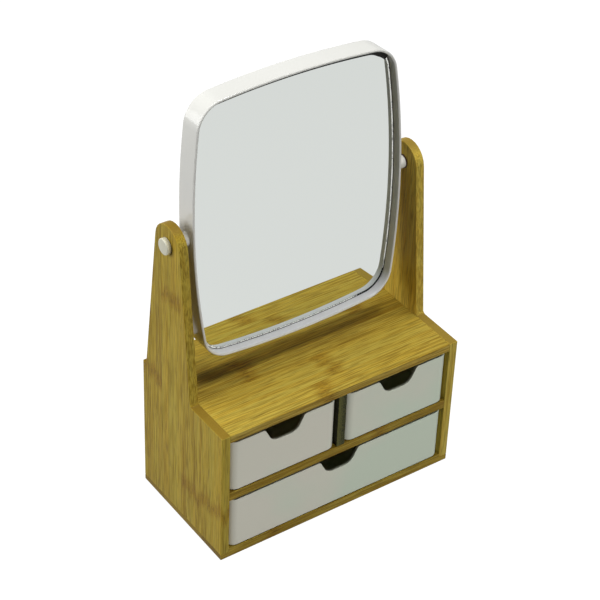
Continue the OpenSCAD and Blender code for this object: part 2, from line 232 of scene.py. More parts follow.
def carried_profile(outline: Path2, profile: Path2, closed: bool = False) -> Shell:
    """Carries a profile round an outline.

    A point is the outline's point, moved along its normal by the profile's outward step, at the profile's
    height. Its normal is the profile's, spread over the outline's normal and the height.

    Args:
        outline: Points and outward normals of the outline.
        profile: Outward steps and heights, from the lower face up the outside to the upper face, and the
            normals there.
        closed: Whether the profile closes on itself, for a ring.

    Returns:
        The closed surface.
    """
    (points, normals), (steps, leaning) = outline, profile
    shape = (len(steps), len(points), 1)
    plane = points[None] + steps[:, None, :1] * normals[None]
    height = np.broadcast_to(steps[:, None, 1:], shape)
    sideways = leaning[:, None, :1] * normals[None]
    upwards = np.broadcast_to(leaning[:, None, 1:], shape)
    places = np.concatenate([plane, height], axis=2)
    return loft(places, np.concatenate([sideways, upwards], axis=2), edge_share(leaning), closed)


def slab_profile(low: float, high: float, round_low: float, round_high: float, steps: int) -> Path2:
    """The side of a slab with quarter-round edges, from its lower face to its upper.

    At an angle a, a point of an edge lies at the radius times 1 - sin(a) and 1 - cos(a) from its two faces.

    Args:
        low: Height of the lower face.
        high: Height of the upper face.
        round_low: Radius of the lower edge.
        round_high: Radius of the upper edge.
        steps: Number of pieces in each edge.

    Returns:
        Outward steps and heights, and the normals there.
    """
    a = np.linspace(0, QUARTER, steps + 1)
    sine, cosine = np.sin(a), np.cos(a)
    below = np.stack([-round_low * (1 - sine), low + round_low * (1 - cosine)], axis=1)
    above = np.stack([-round_high * (1 - cosine), high - round_high * (1 - sine)], axis=1)
    return np.concatenate([below, above]), np.concatenate([np.stack([sine, -cosine], axis=1), rays(a)])


def turned_shell(profile: Path2, steps: int) -> Shell:
    """Turns a profile about the height axis, as a profile that is carried round a point.

    Args:
        profile: Radii and heights, from below to above, and the normals there.
        steps: Number of places round the axis.

    Returns:
        The closed surface.
    """
    ray = rays(np.linspace(0, 4 * QUARTER, steps, endpoint=False))
    return carried_profile((np.zeros_like(ray), ray), profile)


def make_piece(
    name: str,
    shells: Sequence[Shell],
    finishes: Sequence[bpy.types.Material],
    body: str,
    stands_for: Sequence[str],
) -> bpy.types.Object:
    """Makes one object of some closed surfaces, dresses it and lets it ride on its body.

    Args:
        name: The piece's name.
        shells: Its surfaces, in metres and in place.
        finishes: The materials that the surfaces' indices mean.
        body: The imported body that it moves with.
        stands_for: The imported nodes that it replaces.

    Returns:
        The new object.
    """
    offsets = np.cumsum([0] + [len(s.points) for s in shells])
    faces = [[i + int(o) for i in face] for s, o in zip(shells, offsets) for face in s.faces]
    mesh = bpy.data.meshes.new(name)
    mesh.from_pydata(np.concatenate([s.points for s in shells]).tolist(), [], faces)
    mesh.polygons.foreach_set("use_smooth", np.ones(len(faces), bool))
    mesh.polygons.foreach_set("material_index", np.concatenate([s.finish for s in shells]).astype(np.int32))
    # The edge mask with which the bamboo paints its edge highlight.
    edge_highlight_mask = mesh.attributes.new("edge", "FLOAT", "POINT")
    edge_highlight_mask.data.foreach_set("value", np.concatenate([s.edge for s in shells]).astype(np.float32))
    mesh.normals_split_custom_set_from_vertices(np.concatenate([s.normals for s in shells]).tolist())
    piece = bpy.data.objects.new(name, mesh)
    bpy.context.scene.collection.objects.link(piece)
    for finish in finishes:
        mesh.materials.append(finish)
    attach(piece, body)
    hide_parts(*stands_for)
    LOG.info("%s: %d faces on %s", name, len(faces), body)
    return piece


def node_box(node: str) -> tuple[Array, Array]:
    """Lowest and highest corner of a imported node, in metres."""
    low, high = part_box(node)
    return np.array(low), np.array(high)


class NodeSheet:
    """Adds nodes to one tree, and links them, by short calls that return sockets.

    A value that a call takes is a socket, which is linked, or a number, vector or colour, which is set.
    """

    def __init__(self, tree: bpy.types.NodeTree) -> None:
        """Starts on a tree."""
        self.tree = tree

    def node(self, kind: str, **settings: object) -> bpy.types.Node:
        """Adds a node.

        Args:
            kind: Blender's name for the kind of node.
            settings: Properties to set on it.

        Returns:
            The node.
        """
        made = self.tree.nodes.new(kind)
        for name, value in settings.items():
            setattr(made, name, value)
        return made

    def feed(self, target: bpy.types.NodeSocket, source: object) -> None:
        """Links a socket into a target, or writes a plain value there.

        Args:
            target: The socket that takes it.
            source: The socket or the value.
        """
        if isinstance(source, bpy.types.NodeSocket):
            self.tree.links.new(source, target)
        elif target.type == "RGBA" and len(source) == 3:
            target.default_value = (*source, 1.0)
        else:
            target.default_value = source

    def feed_all(self, node: bpy.types.Node, sources: dict[str, object]) -> None:
        """Feeds a node's inputs by their names."""
        for name, source in sources.items():
            self.feed(node.inputs[name], source)

    def maths(self, operation: str, *values: object, clamp: bool = False) -> bpy.types.NodeSocket:
        """The result of a Math node.

        Args:
            operation: What it does.
            values: What it does that to, in order.
            clamp: Whether the result is held between 0 and 1.

        Returns:
            The result's socket.
        """
        made = self.node("ShaderNodeMath", operation=operation, use_clamp=clamp)
        for socket, value in zip(made.inputs, values):
            self.feed(socket, value)
        return made.outputs[0]

    def vector(self, operation: str, *values: object) -> bpy.types.NodeSocket:
        """The result of a Vector Math node.

        Args:
            operation: What it does.
            values: The vectors that it does that to, in order.

        Returns:
            The socket of the resulting vector, or of the value for a product or a distance.
        """
        made = self.node("ShaderNodeVectorMath", operation=operation)
        for socket, value in zip(made.inputs, values):
            self.feed(socket, value)
        return made.outputs["Value" if operation in ("DOT_PRODUCT", "DISTANCE") else "Vector"]

    def combine(self, x: object, y: object, z: object) -> bpy.types.NodeSocket:
        """A vector of three values.

        Args:
            x: Its first part.
            y: Its second part.
            z: Its third part.

        Returns:
            The vector's socket.
        """
        made = self.node("ShaderNodeCombineXYZ")
        self.feed_all(made, {"X": x, "Y": y, "Z": z})
        return made.outputs[0]

    def split(self, place: bpy.types.NodeSocket) -> list[bpy.types.NodeSocket]:
        """The three parts of a vector.

        Args:
            place: The vector.

        Returns:
            The parts' sockets.
        """
        made = self.node("ShaderNodeSeparateXYZ")
        self.feed(made.inputs[0], place)
        return list(made.outputs)

    def here(self, kind: str = "Object") -> bpy.types.NodeSocket:
        """The shaded place on the piece, or the direction outwards there where the kind is Normal."""
        return self.node("ShaderNodeTexCoord").outputs[kind]

    def noise(
        self, place: object, scale: object, detail: float = 2.0, roughness: float = 0.5
    ) -> bpy.types.NodeSocket:
        """Smooth noise from 0 to 1.

        Args:
            place: Where it is read.
            scale: How fine it is.
            detail: Number of finer layers in it.
            roughness: Strength of those layers.

        Returns:
            Its value's socket.
        """
        made = self.node("ShaderNodeTexNoise")
        self.feed_all(made, {"Vector": place, "Scale": scale, "Detail": detail, "Roughness": roughness})
        return made.outputs["Fac"]

    def span(
        self, value: object, low: float, high: float, to_low: object = 0.0, to_high: object = 1.0,
        smooth: bool = False,
    ) -> bpy.types.NodeSocket:
        """A value taken from one range to another, and held at its ends.

        Args:
            value: The value.
            low: Where the first range starts.
            high: Where the first range ends.
            to_low: What its start becomes.
            to_high: What its end becomes.
            smooth: Whether the way between them is an S-curve.

        Returns:
            The new value's socket.
        """
        made = self.node("ShaderNodeMapRange", interpolation_type="SMOOTHSTEP" if smooth else "LINEAR")
        ends = {"From Min": low, "From Max": high, "To Min": to_low, "To Max": to_high}
        self.feed_all(made, {"Value": value, **ends})
        return made.outputs["Result"]

    def mix(self, share: object, first: object, second: object, blend: str = "MIX") -> bpy.types.NodeSocket:
        """Two colours mixed.

        Args:
            share: The second colour's share.
            first: The first colour.
            second: The second colour.
            blend: How they mix.

        Returns:
            The mixed colour's socket.
        """
        made = self.node("ShaderNodeMix", data_type="RGBA", blend_type=blend)
        colours = [socket for socket in made.inputs if socket.type == "RGBA"]
        for socket, given in zip((made.inputs["Factor"], *colours), (share, first, second)):
            self.feed(socket, given)
        return next(socket for socket in made.outputs if socket.type == "RGBA")

    def tinted(self, colour: object, tint: object) -> bpy.types.NodeSocket:
        """A colour multiplied by a tint."""
        return self.mix(1.0, colour, tint, blend="MULTIPLY")

    def bands(self, place: object, stops: Sequence[Colour]) -> list[bpy.types.NodeSocket]:
        """Equal bands from 0 to 1.

        Args:
            place: Where between 0 and 1 the bands are read.
            stops: The three values of each band.

        Returns:
            The three values' sockets.
        """
        made = self.node("ShaderNodeValToRGB")
        ramp = made.color_ramp
        ramp.interpolation = "CONSTANT"
        ramp.elements.remove(ramp.elements[1])
        ramp.elements[0].position, ramp.elements[0].color = 0.0, (*stops[0], 1.0)
        for i, stop in enumerate(stops[1:], start=1):
            ramp.elements.new(i / len(stops)).color = (*stop, 1.0)
        self.feed(made.inputs["Fac"], place)
        parts = self.node("ShaderNodeSeparateColor")
        self.feed(parts.inputs[0], made.outputs["Color"])
        return list(parts.outputs)

    def group(self, name: str, **inputs: object) -> bpy.types.Node:
        """Places a shared group.

        Args:
            name: The group's name.
            inputs: What its inputs take, by their names with underscores for spaces.

        Returns:
            Its node.
        """
        made = self.node("ShaderNodeGroup")
        made.node_tree = bpy.data.node_groups[name]
        self.feed_all(made, {key.replace("_", " "): value for key, value in inputs.items()})
        return made


def new_group(name: str, inputs: dict[str, str], outputs: dict[str, str]) -> tuple[NodeSheet, dict, dict]:
    """Starts a shared node group.

    Args:
        name: The group's name.
        inputs: Socket names and their kinds, such as Float, Vector or Color.
        outputs: The same, for what it puts out.

    Returns:
        The sheet to draw on, the sockets where its inputs arrive, and the sockets where its outputs leave.
    """
    tree = bpy.data.node_groups.new(name, "ShaderNodeTree")
    for way, sockets in (("INPUT", inputs), ("OUTPUT", outputs)):
        for key, kind in sockets.items():
            tree.interface.new_socket(key, in_out=way, socket_type=f"NodeSocket{kind}")
    sheet = NodeSheet(tree)
    arriving = sheet.node("NodeGroupInput")
    leaving = sheet.node("NodeGroupOutput")
    return sheet, {k: arriving.outputs[k] for k in inputs}, {k: leaving.inputs[k] for k in outputs}


@dataclass(frozen=True)
class GrainLayer:
    """Noise that is stretched along the grain, and taken from one range to another.

    Attributes:
        along: Its scale along the grain.
        across: Its scale across the grain.
        low: Where the noise's range starts.
        high: Where the noise's range ends.
        to_low: What that start becomes.
        to_high: What that end becomes.
        detail: Number of finer layers in it.
        roughness: Strength of those layers.
    """

    along: float
    across: float
    low: float
    high: float
    to_low: float = 0.0
    to_high: float = 1.0
    detail: float = 2.0
    roughness: float = 0.6

    def draw(self, sheet: NodeSheet, place: bpy.types.NodeSocket) -> bpy.types.NodeSocket:
        """Draws the layer.

        Args:
            sheet: The sheet to draw on.
            place: The place, whose first axis runs along the grain.

        Returns:
            The layer's value.
        """
        stretched = sheet.vector("MULTIPLY", place, (self.along, self.across, self.across))
        noise = sheet.noise(stretched, 1.0, self.detail, self.roughness)
        return sheet.span(noise, self.low, self.high, self.to_low, self.to_high)


@dataclass(frozen=True)
class BambooGrain:
    """Bamboo board as a shared group: long fibres, dark dashes, a blotchy node and speckled end grain.

    Grain runs along the first axis of Place. Every layer is noise that is stretched along it. A node is a
    soft patch with short dark dashes, and the fibres lean a little to red or to green in places.

    Attributes:
        broad: Slow changes of tone.
        bundle: Changes of tone from one bundle of fibres to the next.
        fibre: The single fibres.
        dash: Dark dashes between the fibres.
        tint: Where the fibres lean to green.
        wander: How a node wanders along the grain, in metres.
        dots: The short dashes in a node.
        pores: The pores in the end grain.
        warm: Tint of the fibres that lean to red.
        cool: Tint of the fibres that lean to green.
        node: Tint of a node.
        dash_share: Strength of the dashes.
        dot_share: Strength of a node's dashes.
        node_core: Distance from a node's middle to where it starts to fade, in metres.
        node_reach: Distance from a node's middle to where it ends, in metres.
        dull: Roughness of the deepest fibres.
        gloss: Roughness of the palest fibres.
        painted_edge_highlight: Share of the pale colour on a rounded edge, a painted highlight where the
            edge catches the light.
        end_tone: Share of a strip's tone that its end grain has.
        end_dark: Share of the dark colour all over the end grain.
        pore_share: Strength of the pores.
        few_pores: Share of the pores that show in a pale strip.
    """

    broad: GrainLayer = GrainLayer(4.0, 95.0, 0.3, 0.7, -0.2, 0.2, roughness=0.55)
    bundle: GrainLayer = GrainLayer(16.0, 520.0, 0.34, 0.66, -0.22, 0.22)
    fibre: GrainLayer = GrainLayer(26.0, 1400.0, 0.38, 0.62, -0.46, 0.46)
    dash: GrainLayer = GrainLayer(60.0, 1500.0, 0.56, 0.66, detail=1.0, roughness=0.5)
    tint: GrainLayer = GrainLayer(7.0, 260.0, 0.36, 0.64)
    wander: GrainLayer = GrainLayer(6.0, 150.0, 0.3, 0.7, -0.006, 0.006)
    dots: GrainLayer = GrainLayer(190.0, 850.0, 0.5, 0.62)
    pores: GrainLayer = GrainLayer(30.0, 1100.0, 0.4, 0.62, detail=1.0, roughness=0.5)
    warm: Colour = (1.0, 0.955, 0.84)
    cool: Colour = (0.95, 1.0, 1.1)
    node: Colour = (0.84, 0.74, 0.55)
    dash_share: float = 0.46
    dot_share: float = 0.5
    node_core: float = 0.001
    node_reach: float = 0.012
    dull: float = 0.5
    gloss: float = 0.34
    painted_edge_highlight: float = 0.3
    end_tone: float = 0.7
    end_dark: float = 0.3
    pore_share: float = 0.7
    few_pores: float = 0.12

    # The tones between which the pores of the end grain grow few.
    DARK_TO_PALE = (0.1, 0.6)

    def build(self) -> None:
        """Makes the group, whose face and end grain are mixed by End Grain."""
        sheet, given, out = new_group(
            "BambooGrain",
            {
                "Place": "Vector", "Tone": "Float", "Ring": "Float", "End Grain": "Float", "Edge": "Float",
                "Pale": "Color", "Deep": "Color", "Dark": "Color",
            },
            {"Color": "Color", "Roughness": "Float", "Height": "Float"},
        )
        fibre, dash = self.fibre.draw(sheet, given["Place"]), self.dash.draw(sheet, given["Place"])
        wood = sheet.mix(given["End Grain"], self.face(sheet, given, fibre, dash), self.end(sheet, given))
        # Rounded edges are painted paler, as a painted highlight.
        painted_edge_highlight = sheet.maths("MULTIPLY", given["Edge"], self.painted_edge_highlight)
        sheet.feed(out["Color"], sheet.mix(painted_edge_highlight, wood, given["Pale"]))
        swing = (self.fibre.to_low, self.fibre.to_high)
        sheet.feed(out["Roughness"], sheet.span(fibre, *swing, self.dull, self.gloss))
        sheet.feed(out["Height"], sheet.maths("SUBTRACT", fibre, dash))

    def face(
        self, sheet: NodeSheet, given: dict, fibre: bpy.types.NodeSocket, dash: bpy.types.NodeSocket
    ) -> bpy.types.NodeSocket:
        """Draws the colour along the grain.

        Args:
            sheet: The sheet to draw on.
            given: The group's inputs.
            fibre: The fibres' layer.
            dash: The dashes' layer.

        Returns:
            The colour's socket.
        """
        place = given["Place"]
        from_ring = sheet.maths("SUBTRACT", sheet.split(place)[0], given["Ring"])
        gap = sheet.maths("ABSOLUTE", sheet.maths("ADD", from_ring, self.wander.draw(sheet, place)))
        patch = sheet.span(gap, self.node_core, self.node_reach, 1.0, 0.0, smooth=True)
        dots = sheet.maths("MULTIPLY", patch, self.dots.draw(sheet, place))
        slow = sheet.maths("ADD", self.broad.draw(sheet, place), self.bundle.draw(sheet, place))
        tone = sheet.maths("ADD", given["Tone"], sheet.maths("ADD", slow, fibre), clamp=True)
        tint = sheet.mix(self.tint.draw(sheet, place), self.warm, self.cool)
        colour = sheet.tinted(sheet.mix(tone, given["Deep"], given["Pale"]), tint)
        colour = sheet.mix(sheet.maths("MULTIPLY", dash, self.dash_share), colour, given["Dark"])
        colour = sheet.mix(patch, colour, sheet.tinted(colour, self.node))
        return sheet.mix(sheet.maths("MULTIPLY", dots, self.dot_share), colour, given["Dark"])

    def end(self, sheet: NodeSheet, given: dict) -> bpy.types.NodeSocket:
        """Draws the colour across the grain, where a dark strip is full of pores and a pale one has few.

        Args:
            sheet: The sheet to draw on.
            given: The group's inputs.

        Returns:
            The colour's socket.
        """
        crowded = sheet.span(given["Tone"], *self.DARK_TO_PALE, 1.0, self.few_pores)
        pores = sheet.maths("MULTIPLY", self.pores.draw(sheet, given["Place"]), crowded)
        tone = sheet.maths("MULTIPLY", given["Tone"], self.end_tone)
        colour = sheet.mix(tone, given["Deep"], given["Pale"])
        dark = sheet.maths("MULTIPLY_ADD", pores, self.pore_share, self.end_dark)
        return sheet.mix(dark, colour, given["Dark"])


@dataclass(frozen=True)
class MouldedSkin:
    """Moulded plastic as a shared group: faint clouds in colour and gloss, and the mould's grain as height.

    The clouds are noise, plus Drift times the place along the width.

    Attributes:
        clouds: Scale of the clouds.
        between: The clouds' values between which the colour turns to the shade.
    """

    clouds: float = 14.0
    between: tuple[float, float] = (0.35, 0.65)

    def build(self) -> None:
        """Makes the group."""
        sheet, given, out = new_group(
            "MouldedSkin",
            {
                "Place": "Vector", "Body": "Color", "Shade": "Color", "Grain": "Float", "Gloss": "Float",
                "Dull": "Float", "Drift": "Float",
            },
            {"Color": "Color", "Roughness": "Float", "Height": "Float"},
        )
        place = given["Place"]
        across = sheet.split(place)[0]
        cloud = sheet.maths("MULTIPLY_ADD", across, given["Drift"], sheet.noise(place, self.clouds))
        sheet.feed(out["Color"], sheet.mix(sheet.span(cloud, *self.between), given["Body"], given["Shade"]))
        sheet.feed(out["Roughness"], sheet.span(cloud, *NOISE_RANGE, given["Gloss"], given["Dull"]))
        sheet.feed(out["Height"], sheet.noise(place, given["Grain"], 1.0))


@dataclass(frozen=True)
class Finish:
    """A material with a name. Each kind of finish draws its own shader.

    Attributes:
        name: The material's name.
    """

    name: str

    def material(self) -> bpy.types.Material:
        """Makes the material.

        Returns:
            The material, with one shader that the finish has drawn.
        """
        made = bpy.data.materials.new(self.name)
        made.use_nodes = True
        made.node_tree.nodes.clear()
        sheet = NodeSheet(made.node_tree)
        shader = sheet.node("ShaderNodeBsdfPrincipled")
        sheet.tree.links.new(shader.outputs[0], sheet.node("ShaderNodeOutputMaterial").inputs[0])
        self.draw(sheet, shader)
        return made

    def draw(self, sheet: NodeSheet, shader: bpy.types.Node) -> None:
        """Draws the finish's nodes into the shader."""
        raise NotImplementedError

    @staticmethod
    def bump(
        sheet: NodeSheet, shader: bpy.types.Node, height: object, strength: float, depth: float
    ) -> None:
        """Feeds a height to the shader's normal.

        Args:
            sheet: The sheet to draw on.
            shader: The shader that takes it.
            height: The height, as a share of the depth.
            strength: Strength of the bump.
            depth: The depth, in millimetres.
        """
        node = sheet.node("ShaderNodeBump")
        sheet.feed_all(node, {"Strength": strength, "Distance": depth * MM, "Height": height})
        sheet.feed(shader.inputs["Normal"], node.outputs[0])


@dataclass(frozen=True)
class Strip:
    """One strip of a bamboo board.

    Attributes:
        tone: How pale it is, from 0 to 1.
        ring: Where its growth ring crosses it, in millimetres along the grain.
    """

    tone: float
    ring: float


@dataclass(frozen=True)
class Bamboo(Finish):
    """A lacquered board of bamboo strips.

    Attributes:
        grain: The axis that the grain runs along.
        across: The axis that the strips lie beside each other on.
        strips: The strips, in order along that axis.
        start: Where the first strip starts, in millimetres.
        width: Width of a strip, in millimetres.
        seed: Shifts the pattern, so that no two boards are alike.
        pale: Its palest fibres.
        deep: Its deepest fibres.
        dark: Its pores and the dots of its nodes.
        flank_tint_and_shade: Tint of the faces that look along the strips' axis; on the divider it is
            painted shade.
        end: Tint of the faces that look along the grain.
    """

    grain: Axis
    across: Axis
    strips: tuple[Strip, ...]
    start: float
    width: float = 28.0
    seed: float = 0.0
    pale: Colour = (0.56, 0.40, 0.058)
    deep: Colour = (0.285, 0.178, 0.02)
    dark: Colour = (0.11, 0.062, 0.01)
    flank_tint_and_shade: Colour = (1.0, 1.0, 1.0)
    end: Colour = (1.0, 1.0, 1.0)

    # Rings lie within this length along the grain, in millimetres, half of it to each side.
    RING_REACH = 600.0
    # From one strip to the next, the grain shifts by the first value, times the others across and upwards.
    STRIP_SHIFT = (0.37, 3.1, 1.7)
    # How squarely a face looks along an axis, where its own tint starts and where it is full.
    FLANK_SHOWS = (0.7, 0.95)
    END_SHOWS = (0.6, 0.95)
    LACQUER_SHINE = 0.08
    RELIEF_STRENGTH = 0.35
    RELIEF = 0.08

    def draw(self, sheet: NodeSheet, shader: bpy.types.Node) -> None:
        """Draws the shared grain over the strips' own tones and ring places, and tints the board's faces.

        Args:
            sheet: The sheet to draw on.
            shader: The shader to feed.
        """
        facing = self.facing(sheet, self.grain)
        tone, ring, place = self.strip_values(sheet)
        skin = sheet.group(
            "BambooGrain", Place=place, Tone=tone, Ring=ring,
            End_Grain=sheet.span(facing, *self.FLANK_SHOWS),
            Edge=sheet.node("ShaderNodeAttribute", attribute_name="edge").outputs["Fac"],
            Pale=self.pale, Deep=self.deep, Dark=self.dark,
        )
        flanking = sheet.span(self.facing(sheet, self.across), *self.FLANK_SHOWS)
        tint = sheet.mix(flanking, WHITE, self.flank_tint_and_shade)
        tint = sheet.mix(sheet.span(facing, *self.END_SHOWS), tint, self.end)
        sheet.feed_all(shader, {
            "Base Color": sheet.tinted(skin.outputs["Color"], tint),
            "Roughness": skin.outputs["Roughness"],
            "Specular IOR Level": self.LACQUER_SHINE,
        })
        self.bump(sheet, shader, skin.outputs["Height"], self.RELIEF_STRENGTH, self.RELIEF)

    def facing(self, sheet: NodeSheet, axis: Axis) -> bpy.types.NodeSocket:
        """How much the surface looks along an axis, to either side."""
        along = tuple(float(other is axis) for other in Axis)
        return sheet.maths("ABSOLUTE", sheet.vector("DOT_PRODUCT", sheet.here("Normal"), along))

    def strip_values(self, sheet: NodeSheet) -> tuple[bpy.types.NodeSocket, ...]:
        """Draws what differs from strip to strip.

        A ramp with a constant band for each strip holds the strip's tone, its ring's place as a share of
        RING_REACH, and a shift of its grain, so that it differs from the strips beside it.

        Args:
            sheet: The sheet to draw on.

        Returns:
            The tone, the ring's place in metres, and the place in the grain.
        """
        axes = sheet.split(sheet.here())
        third = axes[({0, 1, 2} - {self.grain.value, self.across.value}).pop()]
        along, across = axes[self.grain.value], axes[self.across.value]
        step, sideways, upwards = self.STRIP_SHIFT
        share = 1 / (self.width * MM * len(self.strips))
        band = sheet.maths("MULTIPLY_ADD", across, share, -self.start * MM * share)
        stops = [
            (strip.tone, strip.ring / self.RING_REACH + 0.5, i * step % 1)
            for i, strip in enumerate(self.strips)
        ]
        tone, ring, shift = sheet.bands(band, stops)
        ring = sheet.maths("MULTIPLY_ADD", ring, self.RING_REACH * MM, -self.RING_REACH * MM / 2)
        return tone, ring, sheet.combine(
            along,
            sheet.maths("MULTIPLY_ADD", shift, sideways, sheet.maths("ADD", across, self.seed)),
            sheet.maths("MULTIPLY_ADD", shift, upwards, sheet.maths("ADD", third, self.seed)),
        )


@dataclass(frozen=True)
class MouldedPlastic(Finish):
    """Opaque moulded plastic.

    Attributes:
        body: Its main colour.
        shade: The colour of its faint clouds.
        grain: Scale of the mould's grain.
        gloss: Roughness at its glossiest.
        dull: Roughness at its dullest.
        relief: Depth of the mould's grain, in millimetres.
        drift: How fast its colour turns to the shade along the width, for each metre.
    """

    body: Colour
    shade: Colour
    grain: float
    gloss: float
    dull: float
    relief: float
    drift: float = 0.0

    RELIEF_STRENGTH = 0.5

    def draw(self, sheet: NodeSheet, shader: bpy.types.Node) -> None:
        """Draws the moulded skin.

        Args:
            sheet: The sheet to draw on.
            shader: The shader to feed.
        """
        skin = sheet.group(
            "MouldedSkin", Place=sheet.here(), Body=self.body, Shade=self.shade, Grain=self.grain,
            Gloss=self.gloss, Dull=self.dull, Drift=self.drift,
        )
        sheet.feed(shader.inputs["Base Color"], self.coloured(sheet, skin.outputs["Color"]))
        sheet.feed(shader.inputs["Roughness"], skin.outputs["Roughness"])
        self.bump(sheet, shader, skin.outputs["Height"], self.RELIEF_STRENGTH, self.relief)

    def coloured(self, sheet: NodeSheet, colour: bpy.types.NodeSocket) -> bpy.types.NodeSocket:
        """The skin's colour as it is."""
        return colour


@dataclass(frozen=True)
class PaintedShadePlastic(MouldedPlastic):
    """Moulded plastic with painted light and shade: downward faces painted near black as shade, upward faces
    paler as light.

    Attributes:
        painted_shade: The near-black colour painted as shade on downward faces.
        painted_light: The paler colour painted as light on the faces that look up.
    """

    painted_shade: Colour = (0.012, 0.013, 0.007)
    painted_light: Colour = (0.97, 0.98, 0.985)

    # The upward part of the surface's direction, where each colour starts and where it is full: painted
    # light above, painted shade below.
    LOOKS_UP = (0.1, 0.7)
    LOOKS_DOWN = (-0.75, -0.08)

    def coloured(self, sheet: NodeSheet, colour: bpy.types.NodeSocket) -> bpy.types.NodeSocket:
        """The skin's colour, painted paler as light where the surface looks up, and near black as shade
        where it looks down.

        Args:
            sheet: The sheet to draw on.
            colour: The skin's colour.

        Returns:
            The new colour's socket.
        """
        looks_up = sheet.split(sheet.here("Normal"))[2]
        # Painted light on faces that look up, and painted shade on faces that look down.
        colour = sheet.mix(sheet.span(looks_up, *self.LOOKS_UP, smooth=True), colour, self.painted_light)
        return sheet.mix(sheet.span(looks_up, *self.LOOKS_DOWN, smooth=True), self.painted_shade, colour)


@dataclass(frozen=True)
class SilveredGlass(Finish):
    """The mirror's face: silver seen through clear glass, with a faint film of dust.

    Attributes:
        silver: The silver's colour.
        dust_scale: Scale of the dust's clouds.
        dust_starts: The clouds' value where dust starts.
        dust_full: The clouds' value where it is thickest.
        dust_dull: Roughness where it is thickest.
    """

    silver: Colour = (0.83, 0.865, 0.835)
    dust_scale: float = 9.0
    dust_starts: float = 0.4
    dust_full: float = 0.8
    dust_dull: float = 0.03

    def draw(self, sheet: NodeSheet, shader: bpy.types.Node) -> None:
        """Draws a mirror whose roughness rises a little in the dust.

        Args:
            sheet: The sheet to draw on.
            shader: The shader to feed.
        """
        dust = sheet.noise(sheet.here(), self.dust_scale, 3.0, 0.6)
        dull = sheet.span(dust, self.dust_starts, self.dust_full, 0.0, self.dust_dull)
        sheet.feed_all(shader, {"Base Color": self.silver, "Metallic": 1.0, "Roughness": dull})


@dataclass(frozen=True)
class GroundGlass(Finish):
    """The glass's ground edge: bright, with dark lines that wander along it and crowd at one corner.

    Attributes:
        body: Its colour.
        line: The colour of its lines.
        chipped: The corner where the lines crowd, in metres.
        waves: Scales of the noise that the lines follow, along X, Y and Z.
        near: Distance from that corner where the lines start to thin, in metres.
        far: Distance from that corner where they are thin, in metres.
        crowded: Half of a line's width near the corner, in the noise's units.
        thin: Half of a line's width elsewhere.
        gloss: Roughness at its glossiest.
        dull: Roughness at its dullest.
    """

    body: Colour = (0.97, 0.98, 0.93)
    line: Colour = (0.012, 0.014, 0.012)
    chipped: tuple[float, float, float] = (0.074, 0.0, 0.152)
    waves: tuple[float, float, float] = (600.0, 400.0, 80.0)
    near: float = 0.008
    far: float = 0.02
    crowded: float = 0.24
    thin: float = 0.016
    gloss: float = 0.2
    dull: float = 0.35

    RELIEF_STRENGTH = 0.3
    RELIEF = 0.3

    def draw(self, sheet: NodeSheet, shader: bpy.types.Node) -> None:
        """Draws the lines where stretched noise crosses its middle value.

        Args:
            sheet: The sheet to draw on.
            shader: The shader to feed.
        """
        here = sheet.here()
        waves = sheet.noise(sheet.vector("MULTIPLY", here, self.waves), 1.0, 2.0, 0.6)
        from_middle = sheet.maths("ABSOLUTE", sheet.maths("SUBTRACT", waves, 0.5))
        flat = sheet.vector("MULTIPLY", here, (1.0, 0.0, 1.0))
        away = sheet.vector("DISTANCE", flat, self.chipped)
        width = sheet.span(away, self.near, self.far, self.crowded, self.thin, smooth=True)
        clear = sheet.maths("GREATER_THAN", from_middle, width)
        sheet.feed_all(shader, {
            "Base Color": sheet.mix(clear, self.line, self.body),
            "Metallic": 1.0,
            "Roughness": sheet.span(waves, *NOISE_RANGE, self.gloss, self.dull),
        })
        self.bump(sheet, shader, waves, self.RELIEF_STRENGTH, self.RELIEF)


@dataclass(frozen=True)
class ZincSteel(Finish):
    """Zinc-plated steel, with fine turning marks.

    Attributes:
        body: Its colour.
        marks: Scale of the marks.
        dimming: How dark the marks are, as a share of the colour.
        gloss: Roughness at its glossiest.
        dull: Roughness at its dullest.
    """

    body: Colour = (0.62, 0.62, 0.63)
    marks: float = 900.0
    dimming: float = 0.8
    gloss: float = 0.25
    dull: float = 0.4

    def draw(self, sheet: NodeSheet, shader: bpy.types.Node) -> None:
        """Draws dull bright metal.

        Args:
            sheet: The sheet to draw on.
            shader: The shader to feed.
        """
        marks = sheet.noise(sheet.here(), self.marks, 2.0, 0.6)
        dim = tuple(self.dimming * part for part in self.body)
        sheet.feed_all(shader, {
            "Base Color": sheet.mix(marks, dim, self.body),
            "Metallic": 1.0,
            "Roughness": sheet.span(marks, *NOISE_RANGE, self.gloss, self.dull),
        })


@dataclass(frozen=True)
class DarkElastic(Finish):
    """Rubber or foam: nearly black, with fine cells.

    Attributes:
        body: Its colour.
        cells: Scale of its cells.
        lift: How pale its palest cells are, as a multiple of the colour.
        gloss: Roughness at its glossiest.
        dull: Roughness at its dullest.
    """

    body: Colour = (0.03, 0.028, 0.026)
    cells: float = 1500.0
    lift: float = 1.8
    gloss: float = 0.7
    dull: float = 0.9

    RELIEF_STRENGTH = 0.5
    RELIEF = 0.1

    def draw(self, sheet: NodeSheet, shader: bpy.types.Node) -> None:
        """Draws a dull dark skin.

        Args:
            sheet: The sheet to draw on.
            shader: The shader to feed.
        """
        cell = sheet.noise(sheet.here(), self.cells, 2.0, 0.6)
        pale = tuple(self.lift * part for part in self.body)
        sheet.feed(shader.inputs["Base Color"], sheet.mix(cell, self.body, pale))
        sheet.feed(shader.inputs["Roughness"], sheet.span(cell, *NOISE_RANGE, self.gloss, self.dull))
        self.bump(sheet, shader, cell, self.RELIEF_STRENGTH, self.RELIEF)


